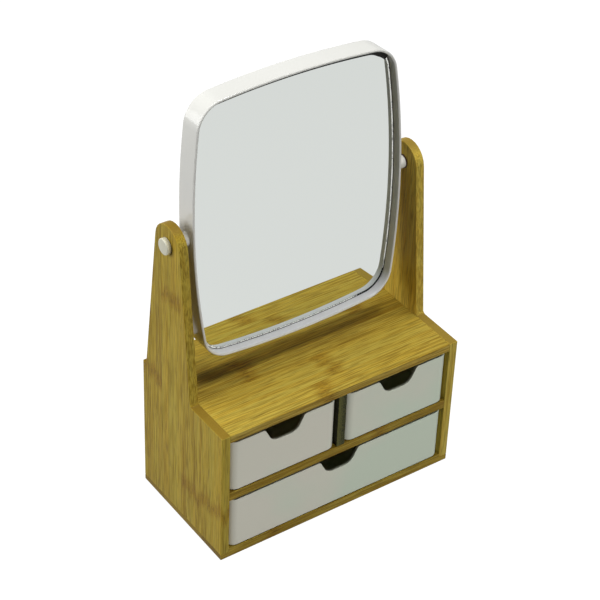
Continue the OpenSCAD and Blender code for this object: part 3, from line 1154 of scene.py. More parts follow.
@dataclass
class Cabinet:
    """The bamboo cabinet: seven boards whose edges are broken by a small rounding.

    Attributes:
        pivot: The middle of the mirror's pivot axis, in metres.
        rounding: Radius of the boards' broken edges, in millimetres.
        hollow: Radius of the hollow at each upright's front foot.
        inner_corner: Radius left in a board's other inner corners.
        head: Radius of an upright's round head.
        front_foot: Distance from the cabinet's front to an upright's front foot.
        back_foot: Distance from the cabinet's back to an upright's back foot.
        tongue: Thickness of the bottom board under the side panels.
        board_corner: Radius of the corners in a board's outline.
        rebate_corner: Radius in the corners of the bottom board's rebates.
        body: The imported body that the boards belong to.
    """

    pivot: Array
    rounding: float = 0.45
    hollow: float = 3.0
    inner_corner: float = 0.5
    head: float = 16.8
    front_foot: float = 44.0
    back_foot: float = 4.5
    tongue: float = 5.2
    board_corner: float = 0.54
    rebate_corner: float = 0.2
    body: str = "cabinet"

    EDGE_STEPS = 3
    ARC_STEPS = 12

    GRAIN = {
        "top_board": Bamboo(
            "TopBoardBamboo", Axis.X, Axis.Y,
            (Strip(0.6, -14), Strip(0.75, 8), Strip(0.45, -51), Strip(0.6, 62), Strip(0.5, -30)),
            start=-67.4, pale=(0.62, 0.447, 0.064), deep=(0.325, 0.205, 0.023), flank_tint_and_shade=(0.98, 0.97, 1.3),
        ),
        "middle_shelf": Bamboo(
            "ShelfBamboo", Axis.X, Axis.Y,
            (Strip(0.1, 40), Strip(0.6, -70), Strip(0.5, 10), Strip(0.7, 80)), start=-57, seed=0.31,
        ),
        "bottom_board": Bamboo(
            "BottomBoardBamboo", Axis.X, Axis.Y,
            (Strip(0.3, -60), Strip(0.6, 30), Strip(0.7, -10), Strip(0.5, 75)), start=-57, seed=0.57,
        ),
        "left_side_panel": Bamboo(
            "LeftSideBamboo", Axis.Z, Axis.Y,
            (Strip(0.75, 45), Strip(0.6, 40), Strip(0.65, 209), Strip(0.45, 120)), start=-56, seed=0.83,
            pale=(0.565, 0.41, 0.05), deep=(0.29, 0.184, 0.018),
            flank_tint_and_shade=(0.97, 0.99, 1.2), end=(0.93, 0.87, 0.85),
        ),
        # Its pale and deep colours are raised over the left panel's as painted light, to lift its inner
        # face, which lies in the mirror's shade.
        "right_side_panel": Bamboo(
            "RightSideBambooPaintedLight", Axis.Z, Axis.Y,
            (Strip(0.8, 190), Strip(0.6, 88), Strip(0.7, 30), Strip(0.5, 150)), start=-56, seed=1.27,
            pale=(0.73, 0.53, 0.082), deep=(0.43, 0.28, 0.037),
            flank_tint_and_shade=(0.94, 0.96, 1.05), end=(0.85, 0.83, 0.85),
        ),
        # The divider's near-black flank tint is painted shade on its sides, which lie in the dark gaps
        # beside the drawers.
        "drawer_divider": Bamboo(
            "DividerBambooShadedSides", Axis.Y, Axis.X,
            (Strip(0.5, 20), Strip(0.35, -10), Strip(0.1, 5), Strip(0.0, 30)), start=-3.75, width=1.875,
            seed=1.61, pale=(0.30, 0.29, 0.08), deep=(0.10, 0.10, 0.03), dark=(0.02, 0.022, 0.008),
            flank_tint_and_shade=(0.12, 0.12, 0.16),
        ),
        "back_panel": Bamboo(
            "BackPanelBamboo", Axis.X, Axis.Z,
            (Strip(0.6, -40), Strip(0.75, 55), Strip(0.5, 5), Strip(0.7, -80)), start=5, seed=1.93,
        ),
    }

    def build(self) -> None:
        """Builds and dresses the seven boards."""
        for node in ("top_board", "middle_shelf", "drawer_divider", "back_panel"):
            self.finish(node, self.plain_board(node))
        self.finish("bottom_board", self.rebated_board("bottom_board"))
        for node in ("left_side_panel", "right_side_panel"):
            self.finish(node, self.side_panel(node))

    def finish(self, node: str, shell: Shell) -> None:
        """Dresses one board's surface in its own bamboo."""
        make_piece(node + "_bamboo", [shell], [self.GRAIN[node].material()], self.body, [node])

    def extruded(self, outline: Path2, low: float, high: float, layout: Layout) -> Shell:
        """A board with broken edges.

        Args:
            outline: Its outline, in metres.
            low: Height of its lower face in the layout.
            high: Height of its upper face.
            layout: How it lies in the cabinet.

        Returns:
            The board's surface.
        """
        soft = self.rounding * MM
        shell = carried_profile(outline, slab_profile(low, high, soft, soft, self.EDGE_STEPS))
        return shell.placed(np.array(layout.value, float).T, np.zeros(3))

    def plain_board(self, node: str) -> Shell:
        """A rectangular board.

        Args:
            node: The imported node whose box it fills.

        Returns:
            The board's surface.
        """
        low, high = node_box(node)
        outline = rectangle(low[:2], high[:2], self.board_corner * MM, self.EDGE_STEPS)
        return self.extruded(outline, low[2], high[2], Layout.FLAT)

    def rebated_board(self, node: str) -> Shell:
        """The bottom board, whose ends are thinner, where the side panels stand on them.

        Args:
            node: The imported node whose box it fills.

        Returns:
            The board's surface.
        """
        low, high = node_box(node)
        inner = node_box("top_board")[1][0]
        step = self.tongue * MM
        corners = [
            (low[0], low[2]), (high[0], low[2]), (high[0], step), (inner, step),
            (inner, high[2]), (-inner, high[2]), (-inner, step), (low[0], step),
        ]
        soft, inside = self.board_corner * MM, self.rebate_corner * MM
        radii = [soft, soft, soft, inside, soft, soft, inside, soft]
        outline = rounded_outline(corners, radii, self.EDGE_STEPS)
        return self.extruded(outline, -high[1], -low[1], Layout.UPRIGHT_FRONT)

    def side_panel(self, node: str) -> Shell:
        """A side panel, whose upright's two slanting edges touch the circle of its head.

        Seen from a foot, the touching line lies beside the circle's centre by the angle whose sine is the
        radius over the distance. The head's corner is where the two lines meet, so that its arc is the
        head's own circle.

        Args:
            node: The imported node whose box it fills.

        Returns:
            The panel's surface.
        """
        low, high = node_box(node)
        top = node_box("top_board")[1][2]
        centre, radius = self.pivot[1:], self.head * MM
        feet = np.array([[low[1] + self.front_foot * MM, top], [high[1] - self.back_foot * MM, top]])
        reach = centre - feet
        beside = np.arcsin(radius / np.linalg.norm(reach, axis=1))
        way = rays(np.arctan2(reach[:, 1], reach[:, 0]) + np.array([1, -1]) * beside)
        share = np.linalg.solve(np.stack([way[0], -way[1]], axis=1), feet[1] - feet[0])
        apex = feet[0] + share[0] * way[0]
        corners = [
            (low[1], low[2]), (high[1], low[2]), (high[1], top), feet[1], apex, feet[0], (low[1], top),
        ]
        soft = self.board_corner * MM
        radii = [soft, soft, soft, self.inner_corner * MM, radius, self.hollow * MM, soft]
        outline = rounded_outline(corners, radii, self.ARC_STEPS)
        return self.extruded(outline, low[0], high[0], Layout.UPRIGHT_SIDE)


@dataclass
class Drawer:
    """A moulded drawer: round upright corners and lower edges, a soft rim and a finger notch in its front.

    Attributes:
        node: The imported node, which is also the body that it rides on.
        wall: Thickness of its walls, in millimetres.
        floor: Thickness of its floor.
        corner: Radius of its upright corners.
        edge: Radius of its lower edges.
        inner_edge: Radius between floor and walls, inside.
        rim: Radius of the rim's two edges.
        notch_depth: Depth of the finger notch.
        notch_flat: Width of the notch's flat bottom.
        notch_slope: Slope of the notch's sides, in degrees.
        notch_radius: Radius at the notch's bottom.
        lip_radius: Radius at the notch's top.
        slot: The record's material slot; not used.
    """

    node: str
    wall: float = 2.2
    floor: float = 2.0
    corner: float = 7.0
    edge: float = 0.8
    inner_edge: float = 1.6
    rim: float = 0.35
    notch_depth: float = 13.8
    notch_flat: float = 10.6
    notch_slope: float = 63.0
    notch_radius: float = 9.5
    lip_radius: float = 3.0
    slot: str = "drawer_plastic"

    CORNER_STEPS = 8
    NOTCH_STEPS = 10
    EDGE_STEPS = 6

    def build(self, plastic: bpy.types.Material) -> None:
        """Builds the drawer in the given plastic."""
        make_piece(self.node + "_moulding", [self.shell()], [plastic], self.node, [self.node])

    def notch(self, middle: float, top: float) -> Path2:
        """The rim's line through the finger notch.

        A side and the bottom meet, without their arc, at the radius times tan(slope / 2) beyond the flat.
        The outline is closed far below the notch, and only its stretch through the notch is kept.

        Args:
            middle: Where the notch's middle is, across the front.
            top: Height of the rim.

        Returns:
            The line's points from left to right, and the directions out of the plastic there.
        """
        depth, slope, steps = self.notch_depth, math.radians(self.notch_slope), self.NOTCH_STEPS
        half = self.notch_flat / 2 + self.notch_radius * math.tan(slope / 2)
        wide, far = half + depth / math.tan(slope), 3 * half
        corners = [
            (-far, -far), (far, -far), (far, 0), (wide, 0),
            (half, -depth), (-half, -depth), (-wide, 0), (-far, 0),
        ]
        lip, low, unused = self.lip_radius, self.notch_radius, 1.0
        radii = [unused, unused, unused, lip, low, low, lip, unused]
        points, normals = rounded_outline(corners, radii, steps)
        kept = slice(3 * (steps + 1), 7 * (steps + 1))
        return points[kept][::-1] * MM + np.array([middle, top]), normals[kept][::-1]

    def shell(self) -> Shell:
        """The whole moulding as one surface, from its underside over its rim to its inner floor.

        Four quarter rounds make it: the lower edge, the rim's outer and inner edges, and the one between
        walls and floor. The first and last lie level, and the other two follow the rim and the notch.

        Returns:
            The drawer's surface.
        """
        low, high = node_box(self.node)
        points, normals = rectangle(low[:2], high[:2], self.corner * MM, self.CORNER_STEPS)
        rim_line, rim_up = self.notch((low[0] + high[0]) / 2, high[2])
        count, after = len(rim_line), len(points) // 4
        front = np.stack([rim_line[:, 0], np.full(count, low[1])], axis=1)
        base = np.insert(points, [after] * count, front, axis=0)
        out = np.insert(normals, [after] * count, [0.0, -1.0], axis=0)
        out = np.concatenate([out, np.zeros((len(out), 1))], axis=1)
        level = np.array([0.0, 0.0, 1.0])
        up = np.tile(level, (len(base), 1))
        up[after:after + count, ::2] = rim_up
        height = np.full(len(base), high[2])
        height[after:after + count] = rim_line[:, 1]
        foot_points = np.concatenate([base, np.full((len(base), 1), low[2])], axis=1)
        rim_points = np.concatenate([base, height[:, None]], axis=1)

        def rings(line: Array, rise: Array, inset: Array, drop: Array, leaning: Array) -> tuple[Array, ...]:
            """Rings that follow a line of points.

            Args:
                line: The points.
                rise: The upward direction at each of them.
                inset: How far each ring is drawn in.
                drop: How far each ring lies below the line.
                leaning: Each ring's outward direction, as parts of out and rise.

            Returns:
                Their points, their directions and how far each lies on a rounded edge.
            """
            places = line - inset[:, None, None] * out - drop[:, None, None] * rise
            return places, leaning[:, :1, None] * out + leaning[:, 1:, None] * rise, edge_share(leaning)

        wall, rim, edge = self.wall * MM, self.rim * MM, self.edge * MM
        inner, floor = self.inner_edge * MM, self.floor * MM
        lean = rays(np.linspace(0, QUARTER, self.EDGE_STEPS + 1))
        near, far = 1 - lean.T
        inwards = lean * (-1, 1)
        rounds = (
            rings(foot_points, level, edge * far, -edge * near, lean[:, ::-1] * (1, -1)),
            rings(rim_points, up, rim * near, rim * far, lean),
            rings(rim_points, up, wall - rim * near[::-1], rim * far[::-1], inwards[::-1]),
            rings(foot_points, level, wall + inner * near, -floor - inner * far, inwards),
        )
        return loft(*(np.concatenate(parts) for parts in zip(*rounds)))


class GlassPart(Enum):
    """A part of the mirror's glass, by the index of its finish."""

    FACE = 0
    BEVEL = 1
    BORDER = 2
    BACKING = 3


@dataclass
class MirrorHead:
    """The turning mirror: a deep moulded frame with its glass, back cover, bosses, washers and caps.

    Lengths are millimetres. Depths count forwards from the pivot axis.

    Attributes:
        pivot: The pivot axis's middle, in metres.
        lean: Lean of the top to the back, in degrees.
        height: Height of the frame.
        width: Width of the frame.
        depth: Depth of the frame.
        side_bulge: Bulge of the upright sides.
        end_bulge: Bulge of the top and bottom.
        corner: Radius of the corners.
        rim: Thickness of the frame's wall, whose front is a half round.
        back_round: Radius of the wall's back edges.
        flange_round: Radius of the flange's edges, and between it and the wall.
        recess: Depth of the glass behind the rim.
        glass: Thickness of the glass.
        glass_gap: Gap between glass and wall.
        glass_round: Radius of the glass's back edge.
        bevel: Width of the glass's ground bevel.
        bevel_drop: Depth of that bevel at the glass's edge.
        bevel_round: How far the bevel's edges are rounded.
        bevel_lean: How far the bevel's shading leans inwards, for each unit forwards.
        silver_line: Width of the dim line where the silver ends.
        top_margin: How much further down the silver ends along the top.
        pad: Thickness of the foam behind the glass.
        pad_drop: How far the foam in the gap stays below the glass's face.
        pad_play: Play between the foam and the glass or the wall.
        pad_lip: How far the foam's inner edge stays behind the flange's.
        pad_round: Radius of the foam's edges.
        flange: Thickness of the flange.
        flange_reach: Width of the flange.
        cover_sink: Depth of the back cover below the rim.
        cover_play: Play between the cover and the frame's wall.
        cover_round: Radius of the cover's outer edge.
        cover_inner_round: Radius of the cover's inner edge.
        boss: Radius of the bosses.
        boss_fillet: Radius of the fillet at a boss's foot.
        boss_round: Radius of a boss's outer edge.
        boss_sink: Depth of the fillet's foot in the frame's wall.
        boss_root: Depth of the boss's root in the frame's wall.
        washer: Radius of the friction washers.
        washer_round: Radius of a washer's edges.
        cap: Radius of the caps.
        cap_dome: Radius of the ball that domes a cap's face.
        cap_edge: Radius of a cap's round edge.
        cap_foot: Width and height of the slant at a cap's foot.
        body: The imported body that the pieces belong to.
    """

    pivot: Array
    lean: float = 3.5
    height: float = 224.2
    width: float = 187.5
    depth: float = 19.0
    side_bulge: float = 10.3
    end_bulge: float = 6.4
    corner: float = 23.6
    rim: float = 2.1
    back_round: float = 0.5
    flange_round: float = 0.3
    recess: float = 7.3
    glass: float = 2.0
    glass_gap: float = 0.5
    glass_round: float = 0.2
    bevel: float = 1.3
    bevel_drop: float = 0.3
    bevel_round: float = 0.04
    bevel_lean: float = 0.3
    silver_line: float = 0.2
    top_margin: float = 3.0
    pad: float = 0.8
    pad_drop: float = 0.06
    pad_play: float = 0.03
    pad_lip: float = 0.5
    pad_round: float = 0.1
    flange: float = 2.0
    flange_reach: float = 8.0
    cover_sink: float = 0.8
    cover_play: float = 0.1
    cover_round: float = 0.9
    cover_inner_round: float = 0.2
    boss: float = 5.2
    boss_fillet: float = 1.0
    boss_round: float = 0.4
    boss_sink: float = 0.1
    boss_root: float = 0.6
    washer: float = 5.7
    washer_round: float = 0.1
    cap: float = 6.6
    cap_dome: float = 60.0
    cap_edge: float = 1.0
    cap_foot: float = 0.2
    body: str = "mirror"

    SIDE_STEPS = 28
    END_STEPS = 24
    CORNER_STEPS = 16
    ROUND_STEPS = 6
    SOFT_STEPS = 2
    COVER_STEPS = 5
    TURNED_STEPS = 64
    CAP_EDGE_STEPS = 8
    CAP_DOME_STEPS = 7
    # The dome ends just short of the axis, where a flat face closes it.
    CAP_POLE = QUARTER - 0.01
    # Radius of the rim's two front arcs over its thickness, so that they almost meet.
    NEARLY_HALF = 0.499
    # Distance from the wall's inner face that still counts as that face, over the rim's thickness.
    NEAR_WALL = 0.4
    # The upward part of the outline's direction: where the top margin starts and is full, and where the
    # black band along the top starts.
    MARGIN_FADE = (0.3, 0.8)
    TOP_BAND_START = 0.42

    def build(self) -> None:
        """Builds and dresses the head's pieces."""
        frame = MouldedPlastic(
            "FramePlastic", (0.80, 0.80, 0.755), (0.77, 0.77, 0.725),
            grain=700.0, gloss=0.08, dull=0.14, relief=0.01,
        ).material()
        # The frame's inside is a shaded copy of its plastic: olive and darker as painted shade tinted by
        # light off the bamboo.
        inside = PaintedShadePlastic(
            "FrameInsideShadedPlastic", (0.80, 0.80, 0.66), (0.77, 0.77, 0.62),
            grain=700.0, gloss=0.3, dull=0.4, relief=0.01,
        ).material()
        ivory = MouldedPlastic(
            "CapPlastic", (0.74, 0.725, 0.57), (0.71, 0.695, 0.54),
            grain=700.0, gloss=0.12, dull=0.2, relief=0.01,
        ).material()
        glass = {
            GlassPart.FACE: SilveredGlass("SilveredFace"),
            GlassPart.BEVEL: GroundGlass("GroundEdge"),
            GlassPart.BORDER: SilveredGlass("SilverBorder", (0.1, 0.11, 0.1)),
            GlassPart.BACKING: DarkElastic("BlackTopBand", (0.004, 0.004, 0.003)),
        }
        glass_finishes = [glass[part].material() for part in GlassPart]
        # The foam is black tape behind the glass; where it fills the gap round the glass, its black is also
        # painted shade.
        foam = DarkElastic("FoamTapeAndGapShade", cells=2600.0).material()
        # The washers are rubber friction washers, and their near-black colour also stands in for the contact
        # shadow at each boss's end.
        rubber_and_shadow = DarkElastic("WasherRubberAndShadow", (0.05, 0.02, 0.012)).material()

        bosses = [self.turned_at(self.boss_profile(), side) for side in (-1, 1)]
        frame_shells = [self.frame_ring(), *bosses]
        self.piece("frame_moulding", frame_shells, [frame, inside], "frame_plastic", "mirror_frame")
        self.piece("silvered_plate", [self.plate()], glass_finishes, "silvered_glass", "mirror_glass")
        self.piece("foam_ring", [self.foam_ring()], [foam], "foam", "glass_pad")
        self.piece("back_cover_moulding", [self.cover()], [frame], "frame_plastic", "mirror_back_cover")
        for side, name in ((-1, "left"), (1, "right")):
            cap = self.turned_at(self.cap_profile(name), side)
            self.piece(f"{name}_cap_moulding", [cap], [ivory], "frame_plastic", f"{name}_pivot_cap")
            ring = self.turned_at(self.washer_profile(name), side)
            self.piece(f"{name}_washer_ring", [ring], [rubber_and_shadow], "dark_rubber", f"{name}_friction_washer")

    def piece(
        self, name: str, shells: list[Shell], finishes: list[bpy.types.Material], slot: str, node: str
    ) -> None:
        """Makes one piece of the head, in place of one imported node."""
        make_piece(name, shells, finishes, self.body, [node])

    @property
    def axes(self) -> Array:
        """The mirror's own axes as columns: to the right, up its face, and out of its face."""
        a = math.radians(self.lean)
        return np.array([[1, 0, 0], [0, math.sin(a), -math.cos(a)], [0, math.cos(a), math.sin(a)]])

    def outline(self, inset: float) -> Path2:
        """The frame's outline, drawn in: four shallow arcs joined by four corner arcs.

        Half a side of length b that bulges by s lies on a circle of radius (b * b + s * s) / 2s. The corner
        circle touches the two shallow ones from inside, so its centre is a corner radius less than theirs
        away from each of their centres.

        Args:
            inset: How far it is drawn in, in millimetres.

        Returns:
            Its points in metres, and the outward normal at each.
        """
        a, b, r = self.width / 2, self.height / 2, self.corner
        side = (b * b + self.side_bulge**2) / (2 * self.side_bulge)
        end = (a * a + self.end_bulge**2) / (2 * self.end_bulge)
        c_side, c_end = np.array([a - side, 0.0]), np.array([0.0, b - end])
        near, far = side - r, end - r
        apart = np.linalg.norm(c_end - c_side)
        way = (c_end - c_side) / apart
        x = (near**2 - far**2 + apart**2) / (2 * apart)
        c = c_side + way * x + np.array([-way[1], way[0]]) * math.sqrt(near**2 - x**2)
        t1 = math.atan2(*(c - c_side)[::-1])
        t2 = math.atan2(*(c - c_end)[::-1])
        half_turn = 2 * QUARTER
        long, short, turn = self.SIDE_STEPS, self.END_STEPS, self.CORNER_STEPS
        arcs = [
            (c_side, side, -t1, t1, long), (c, r, t1, t2, turn),
            (c_end, end, t2, half_turn - t2, short), (c * (-1, 1), r, half_turn - t2, half_turn - t1, turn),
        ]
        arcs += [(-centre, radius, t + half_turn, u + half_turn, n) for centre, radius, t, u, n in arcs]
        spread = [rays(np.linspace(t, u, n, endpoint=False)) for *_, t, u, n in arcs]
        points = [centre + (radius - inset) * ray for (centre, radius, *_), ray in zip(arcs, spread)]
        return np.concatenate(points) * MM, np.concatenate(spread)

    def set_up(self, shell: Shell) -> Shell:
        """Puts a surface that is drawn in the mirror's plane where the mirror is."""
        return shell.placed(self.axes, self.pivot)

    def frame_ring(self) -> Shell:
        """The frame's wall and flange, as one closed profile round the outline.

        The wall's inner face, between the rim's half round and the flange, takes the second finish, the
        plastic painted with shade.

        Returns:
            The frame's surface.
        """
        front, back = self.depth / 2, -self.depth / 2
        shelf = front - self.recess - self.glass - self.pad
        under = shelf - self.flange
        wall, lip = -self.rim, -self.rim - self.flange_reach
        corners = [
            (0, back), (0, front), (wall, front), (wall, shelf), (lip, shelf), (lip, under), (wall, under),
            (wall, back),
        ]
        half, soft, inside = self.NEARLY_HALF * self.rim, self.back_round, self.flange_round
        radii = [soft, half, half, inside, inside, inside, inside, soft]
        steps, leaning = rounded_outline(corners, radii, self.ROUND_STEPS)
        outline = self.outline(0)
        shell = carried_profile(outline, (steps * MM, leaning), closed=True)
        on_wall = np.abs(steps[:, 0] - wall) < self.NEAR_WALL * self.rim
        between = (steps[:, 1] < front - half / 2) & (steps[:, 1] > shelf - self.flange / 2)
        shell.finish = np.repeat((on_wall & between).astype(int), len(outline[0]))
        return self.set_up(shell)

    def plate(self) -> Shell:
        """The glass: a mirror, then a dim line where its silver ends, and a ground bevel to the edge.

        The bevel's shading leans inwards, as its ground face does when it is seen through the glass. Along
        the top the silver ends lower, and a black band runs from there to the edge.

        Returns:
            The glass's surface.
        """
        front = self.depth / 2 - self.recess
        wide, drop, line, soft = self.bevel, self.bevel_drop, self.silver_line, self.bevel_round
        slope = unit(np.array([-self.bevel_lean, 1.0]))
        edge, _ = slab_profile(
            front - self.glass, front - drop - soft, self.glass_round, soft, self.SOFT_STEPS
        )
        steps = np.concatenate([
            edge[:self.SOFT_STEPS + 1],
            [
                [0, front - drop - soft], [-soft, front - drop], [soft - wide, front - soft], [-wide, front],
                [-wide - line, front], [-wide - line - soft, front],
            ],
        ])
        leaning = np.array([[0, -1], [0.7, -0.7], [1, 0], [1, 0], slope, slope, slope, slope, [0, 1]])
        outline = self.outline(self.rim + self.glass_gap)
        shell = carried_profile(outline, (steps * MM, leaning))
        around, upwards = len(outline[0]), outline[1][:, 1]
        margin = np.interp(upwards, self.MARGIN_FADE, (0.0, self.top_margin * MM))[:, None]
        shell.points[-2 * around:, :2] -= np.tile(margin * outline[1], (2, 1))
        rows = np.full((len(steps) - 1, around), GlassPart.BEVEL.value)
        rows[-2] = GlassPart.BORDER.value
        # Along the top, a black band runs from the silver's lowered end to the edge.
        rows[:, upwards > self.TOP_BAND_START] = GlassPart.BACKING.value
        shell.finish[:-2] = rows.ravel()
        shell.finish[-2:] = GlassPart.BEVEL.value, GlassPart.FACE.value
        return self.set_up(shell)

    def foam_ring(self) -> Shell:
        """The black foam behind the glass, which also stands in the gap round it, almost to its face, as
        painted shade there.

        Returns:
            The foam's surface.
        """
        face = self.depth / 2 - self.recess
        top, middle, play = face - self.pad_drop, face - self.glass - self.pad_play, self.pad_play
        back = face - self.glass - self.pad
        wall, plate = -self.rim - play, play - self.rim - self.glass_gap
        lip = self.pad_lip - self.rim - self.flange_reach
        corners = [(wall, back), (wall, top), (plate, top), (plate, middle), (lip, middle), (lip, back)]
        steps, leaning = rounded_outline(corners, [self.pad_round] * len(corners), self.SOFT_STEPS)
        return self.set_up(carried_profile(self.outline(0), (steps * MM, leaning), closed=True))

    def cover(self) -> Shell:
        """The back cover: a plate just below the frame's back edge, with a soft edge of its own.

        Returns:
            The cover's surface.
        """
        back = -self.depth / 2 + self.cover_sink
        front = self.depth / 2 - self.recess - self.glass - self.pad - self.flange
        sizes = np.array([back, front, self.cover_round, self.cover_inner_round]) * MM
        profile = slab_profile(*sizes, self.COVER_STEPS)
        return self.set_up(carried_profile(self.outline(self.rim + self.cover_play), profile))

    def turned_at(self, profile: Path2, side: int) -> Shell:
        """A turned surface on the pivot axis.

        Args:
            profile: Radii and distances from the mirror's middle, in millimetres, and the normals there.
            side: 1 for the right side, and -1 for the left, where it is mirrored.

        Returns:
            The surface, in place.
        """
        shell = turned_shell((profile[0] * MM, profile[1]), self.TURNED_STEPS)
        shell = shell.placed(np.array(Layout.UPRIGHT_SIDE.value, float).T, self.pivot)
        return shell if side > 0 else shell.mirrored()

    def washer_span(self, name: str) -> tuple[float, float]:
        """Where a washer starts and ends on the pivot axis.

        Args:
            name: The washer's side, left or right.

        Returns:
            Its nearest and furthest distance from the mirror's middle, in millimetres.
        """
        low, high = node_box(f"{name}_friction_washer")
        ends = np.abs([low[0], high[0]]) / MM
        return float(ends.min()), float(ends.max())

    def boss_profile(self) -> Path2:
        """A boss: a small fillet at the frame's wall, a straight side and a soft outer edge.

        Returns:
            Radii and distances from the mirror's middle, and the normals there.
        """
        wall, end = self.width / 2, self.washer_span("right")[0]
        fillet, soft = self.boss_fillet, self.boss_round
        ray = rays(np.linspace(0, QUARTER, self.ROUND_STEPS + 1))
        cosine, sine = ray.T
        root = np.array([[self.boss + fillet, wall - self.boss_root]])
        foot = wall - self.boss_sink
        flare = np.stack([self.boss + fillet * (1 - sine), foot + fillet * (1 - cosine)], axis=1)
        edge = np.array([self.boss, end]) - soft * (1 - ray)
        return np.concatenate([root, flare, edge]), np.concatenate([[[1.0, 0.0]], ray[:, ::-1], ray])

    def washer_profile(self, name: str) -> Path2:
        """A washer, which stands a little proud of the boss.

        Args:
            name: The washer's side, left or right.

        Returns:
            Radii and distances from the mirror's middle, and the normals there.
        """
        sizes = (*self.washer_span(name), self.washer_round, self.washer_round)
        steps, leaning = slab_profile(*sizes, self.SOFT_STEPS)
        return steps + np.array([self.washer, 0.0]), leaning

    def cap_profile(self, name: str) -> Path2:
        """A cap: a straight side, a round edge and a face that is part of a large ball.

        The round edge touches both the side and the ball, so its centre lies the edge's radius inside each.

        Args:
            name: The cap's side, left or right.

        Returns:
            Radii and distances from the mirror's middle, and the normals there.
        """
        low, high = node_box(f"{name}_pivot_cap")
        start, end = np.sort(np.abs([low[0], high[0]])) / MM
        ball = np.array([0.0, end - self.cap_dome])
        across = self.cap - self.cap_edge
        centre = np.array([across, ball[1] + math.sqrt((self.cap_dome - self.cap_edge) ** 2 - across**2)])
        turn = math.atan2(centre[1] - ball[1], centre[0])
        edge = rays(np.linspace(0, turn, self.CAP_EDGE_STEPS + 1))
        dome = rays(np.linspace(turn, self.CAP_POLE, self.CAP_DOME_STEPS + 1)[1:])
        foot = np.array([[self.cap - self.cap_foot, start], [self.cap, start + self.cap_foot]])
        return (
            np.concatenate([foot, centre + self.cap_edge * edge, ball + self.cap_dome * dome]),
            np.concatenate([[[0.0, -1.0], [1.0, 0.0]], edge, dome]),
        )


@dataclass
class HiddenParts:
    """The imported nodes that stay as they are, because they lie inside: screws and dowels."""

    def dress(self, nodes: dict[str, bpy.types.Object]) -> None:
        """Gives each node its material.

        Args:
            nodes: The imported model's objects, by their names.
        """
        steel = ZincSteel("ZincSteel").material()
        pin = Bamboo(
            "DowelBamboo", Axis.X, Axis.Y, (Strip(0.5, 200), Strip(0.6, 220)), start=-56, width=60, seed=2.2
        ).material()
        finishes = {
            steel: ("left_pivot_screw", "right_pivot_screw", "bottom_screws", "back_panel_screws"),
            pin: ("top_board_dowels", "shelf_dowels", "divider_dowels"),
        }
        for material, names in finishes.items():
            for name in names:
                nodes[name].data.materials.clear()
                nodes[name].data.materials.append(material)
                LOG.info("%s: %s", name, material.name)


@dataclass
class PhotoCamera:
    """The photograph's camera. Azimuth 0 looks along +Y, and elevation 0 is level.

    Attributes:
        focal: Focal length in the photograph's pixels.
        azimuth: Direction in which it looks, in degrees.
        elevation: How far it looks down, in degrees.
        roll: How far it is turned about its own axis, in degrees.
        place: Where it stands, in millimetres.
        frame_pixels: Width of the photograph, in pixels.
        sensor: Width of the sensor, in millimetres.
        clip: Nearest and furthest distance that it shows, in metres.
    """

    focal: float = 1984.8
    azimuth: float = -36.12
    elevation: float = 36.83
    roll: float = 2.38
    place: tuple[float, float, float] = (-716.5, -976.5, 1078.1)
    frame_pixels: float = 600.0
    sensor: float = 36.0
    clip: tuple[float, float] = (0.01, 60.0)

    def build(self) -> None:
        """Makes the camera and gives it to the scene."""
        a, e, r = (math.radians(v) for v in (self.azimuth, self.elevation, self.roll))
        back = np.array([math.sin(a) * math.cos(e), -math.cos(a) * math.cos(e), math.sin(e)])
        level = np.array([math.cos(a), math.sin(a), 0.0])
        above = np.cross(back, level)
        right = level * math.cos(r) + above * math.sin(r)
        up = above * math.cos(r) - level * math.sin(r)
        lens = bpy.data.cameras.new("photo_camera")
        lens.sensor_width = self.sensor
        lens.lens = self.focal / self.frame_pixels * self.sensor
        lens.clip_start, lens.clip_end = self.clip
        camera = bpy.data.objects.new("photo_camera", lens)
        bpy.context.scene.collection.objects.link(camera)
        pose = Matrix(np.stack([right, up, back], axis=1).tolist()).to_4x4()
        pose.translation = Vector(self.place) * MM
        camera.matrix_world = pose
        bpy.context.scene.camera = camera


@dataclass
class Softbox:
    """A flat lamp that looks at the object: place and sides in metres, power in watts.

    Attributes:
        name: The lamp's name.
        place: Where it stands.
        wide: Its width.
        tall: Its height.
        power: Its power.
        mirrored: Whether shiny surfaces show it.
        aim: Where it looks.
    """

    name: str
    place: tuple[float, float, float]
    wide: float
    tall: float
    power: float
    mirrored: bool = True
    aim: tuple[float, float, float] = (0.0, 0.0, 0.18)

    def build(self) -> None:
        """Makes the lamp."""
        light = bpy.data.lights.new(self.name, "AREA")
        light.shape, light.size, light.size_y = "RECTANGLE", self.wide, self.tall
        light.energy = self.power
        lamp = bpy.data.objects.new(self.name, light)
        bpy.context.scene.collection.objects.link(lamp)
        lamp.location = self.place
        lamp.visible_glossy = self.mirrored
        lamp.rotation_euler = (Vector(self.aim) - Vector(self.place)).to_track_quat("-Z", "Y").to_euler()


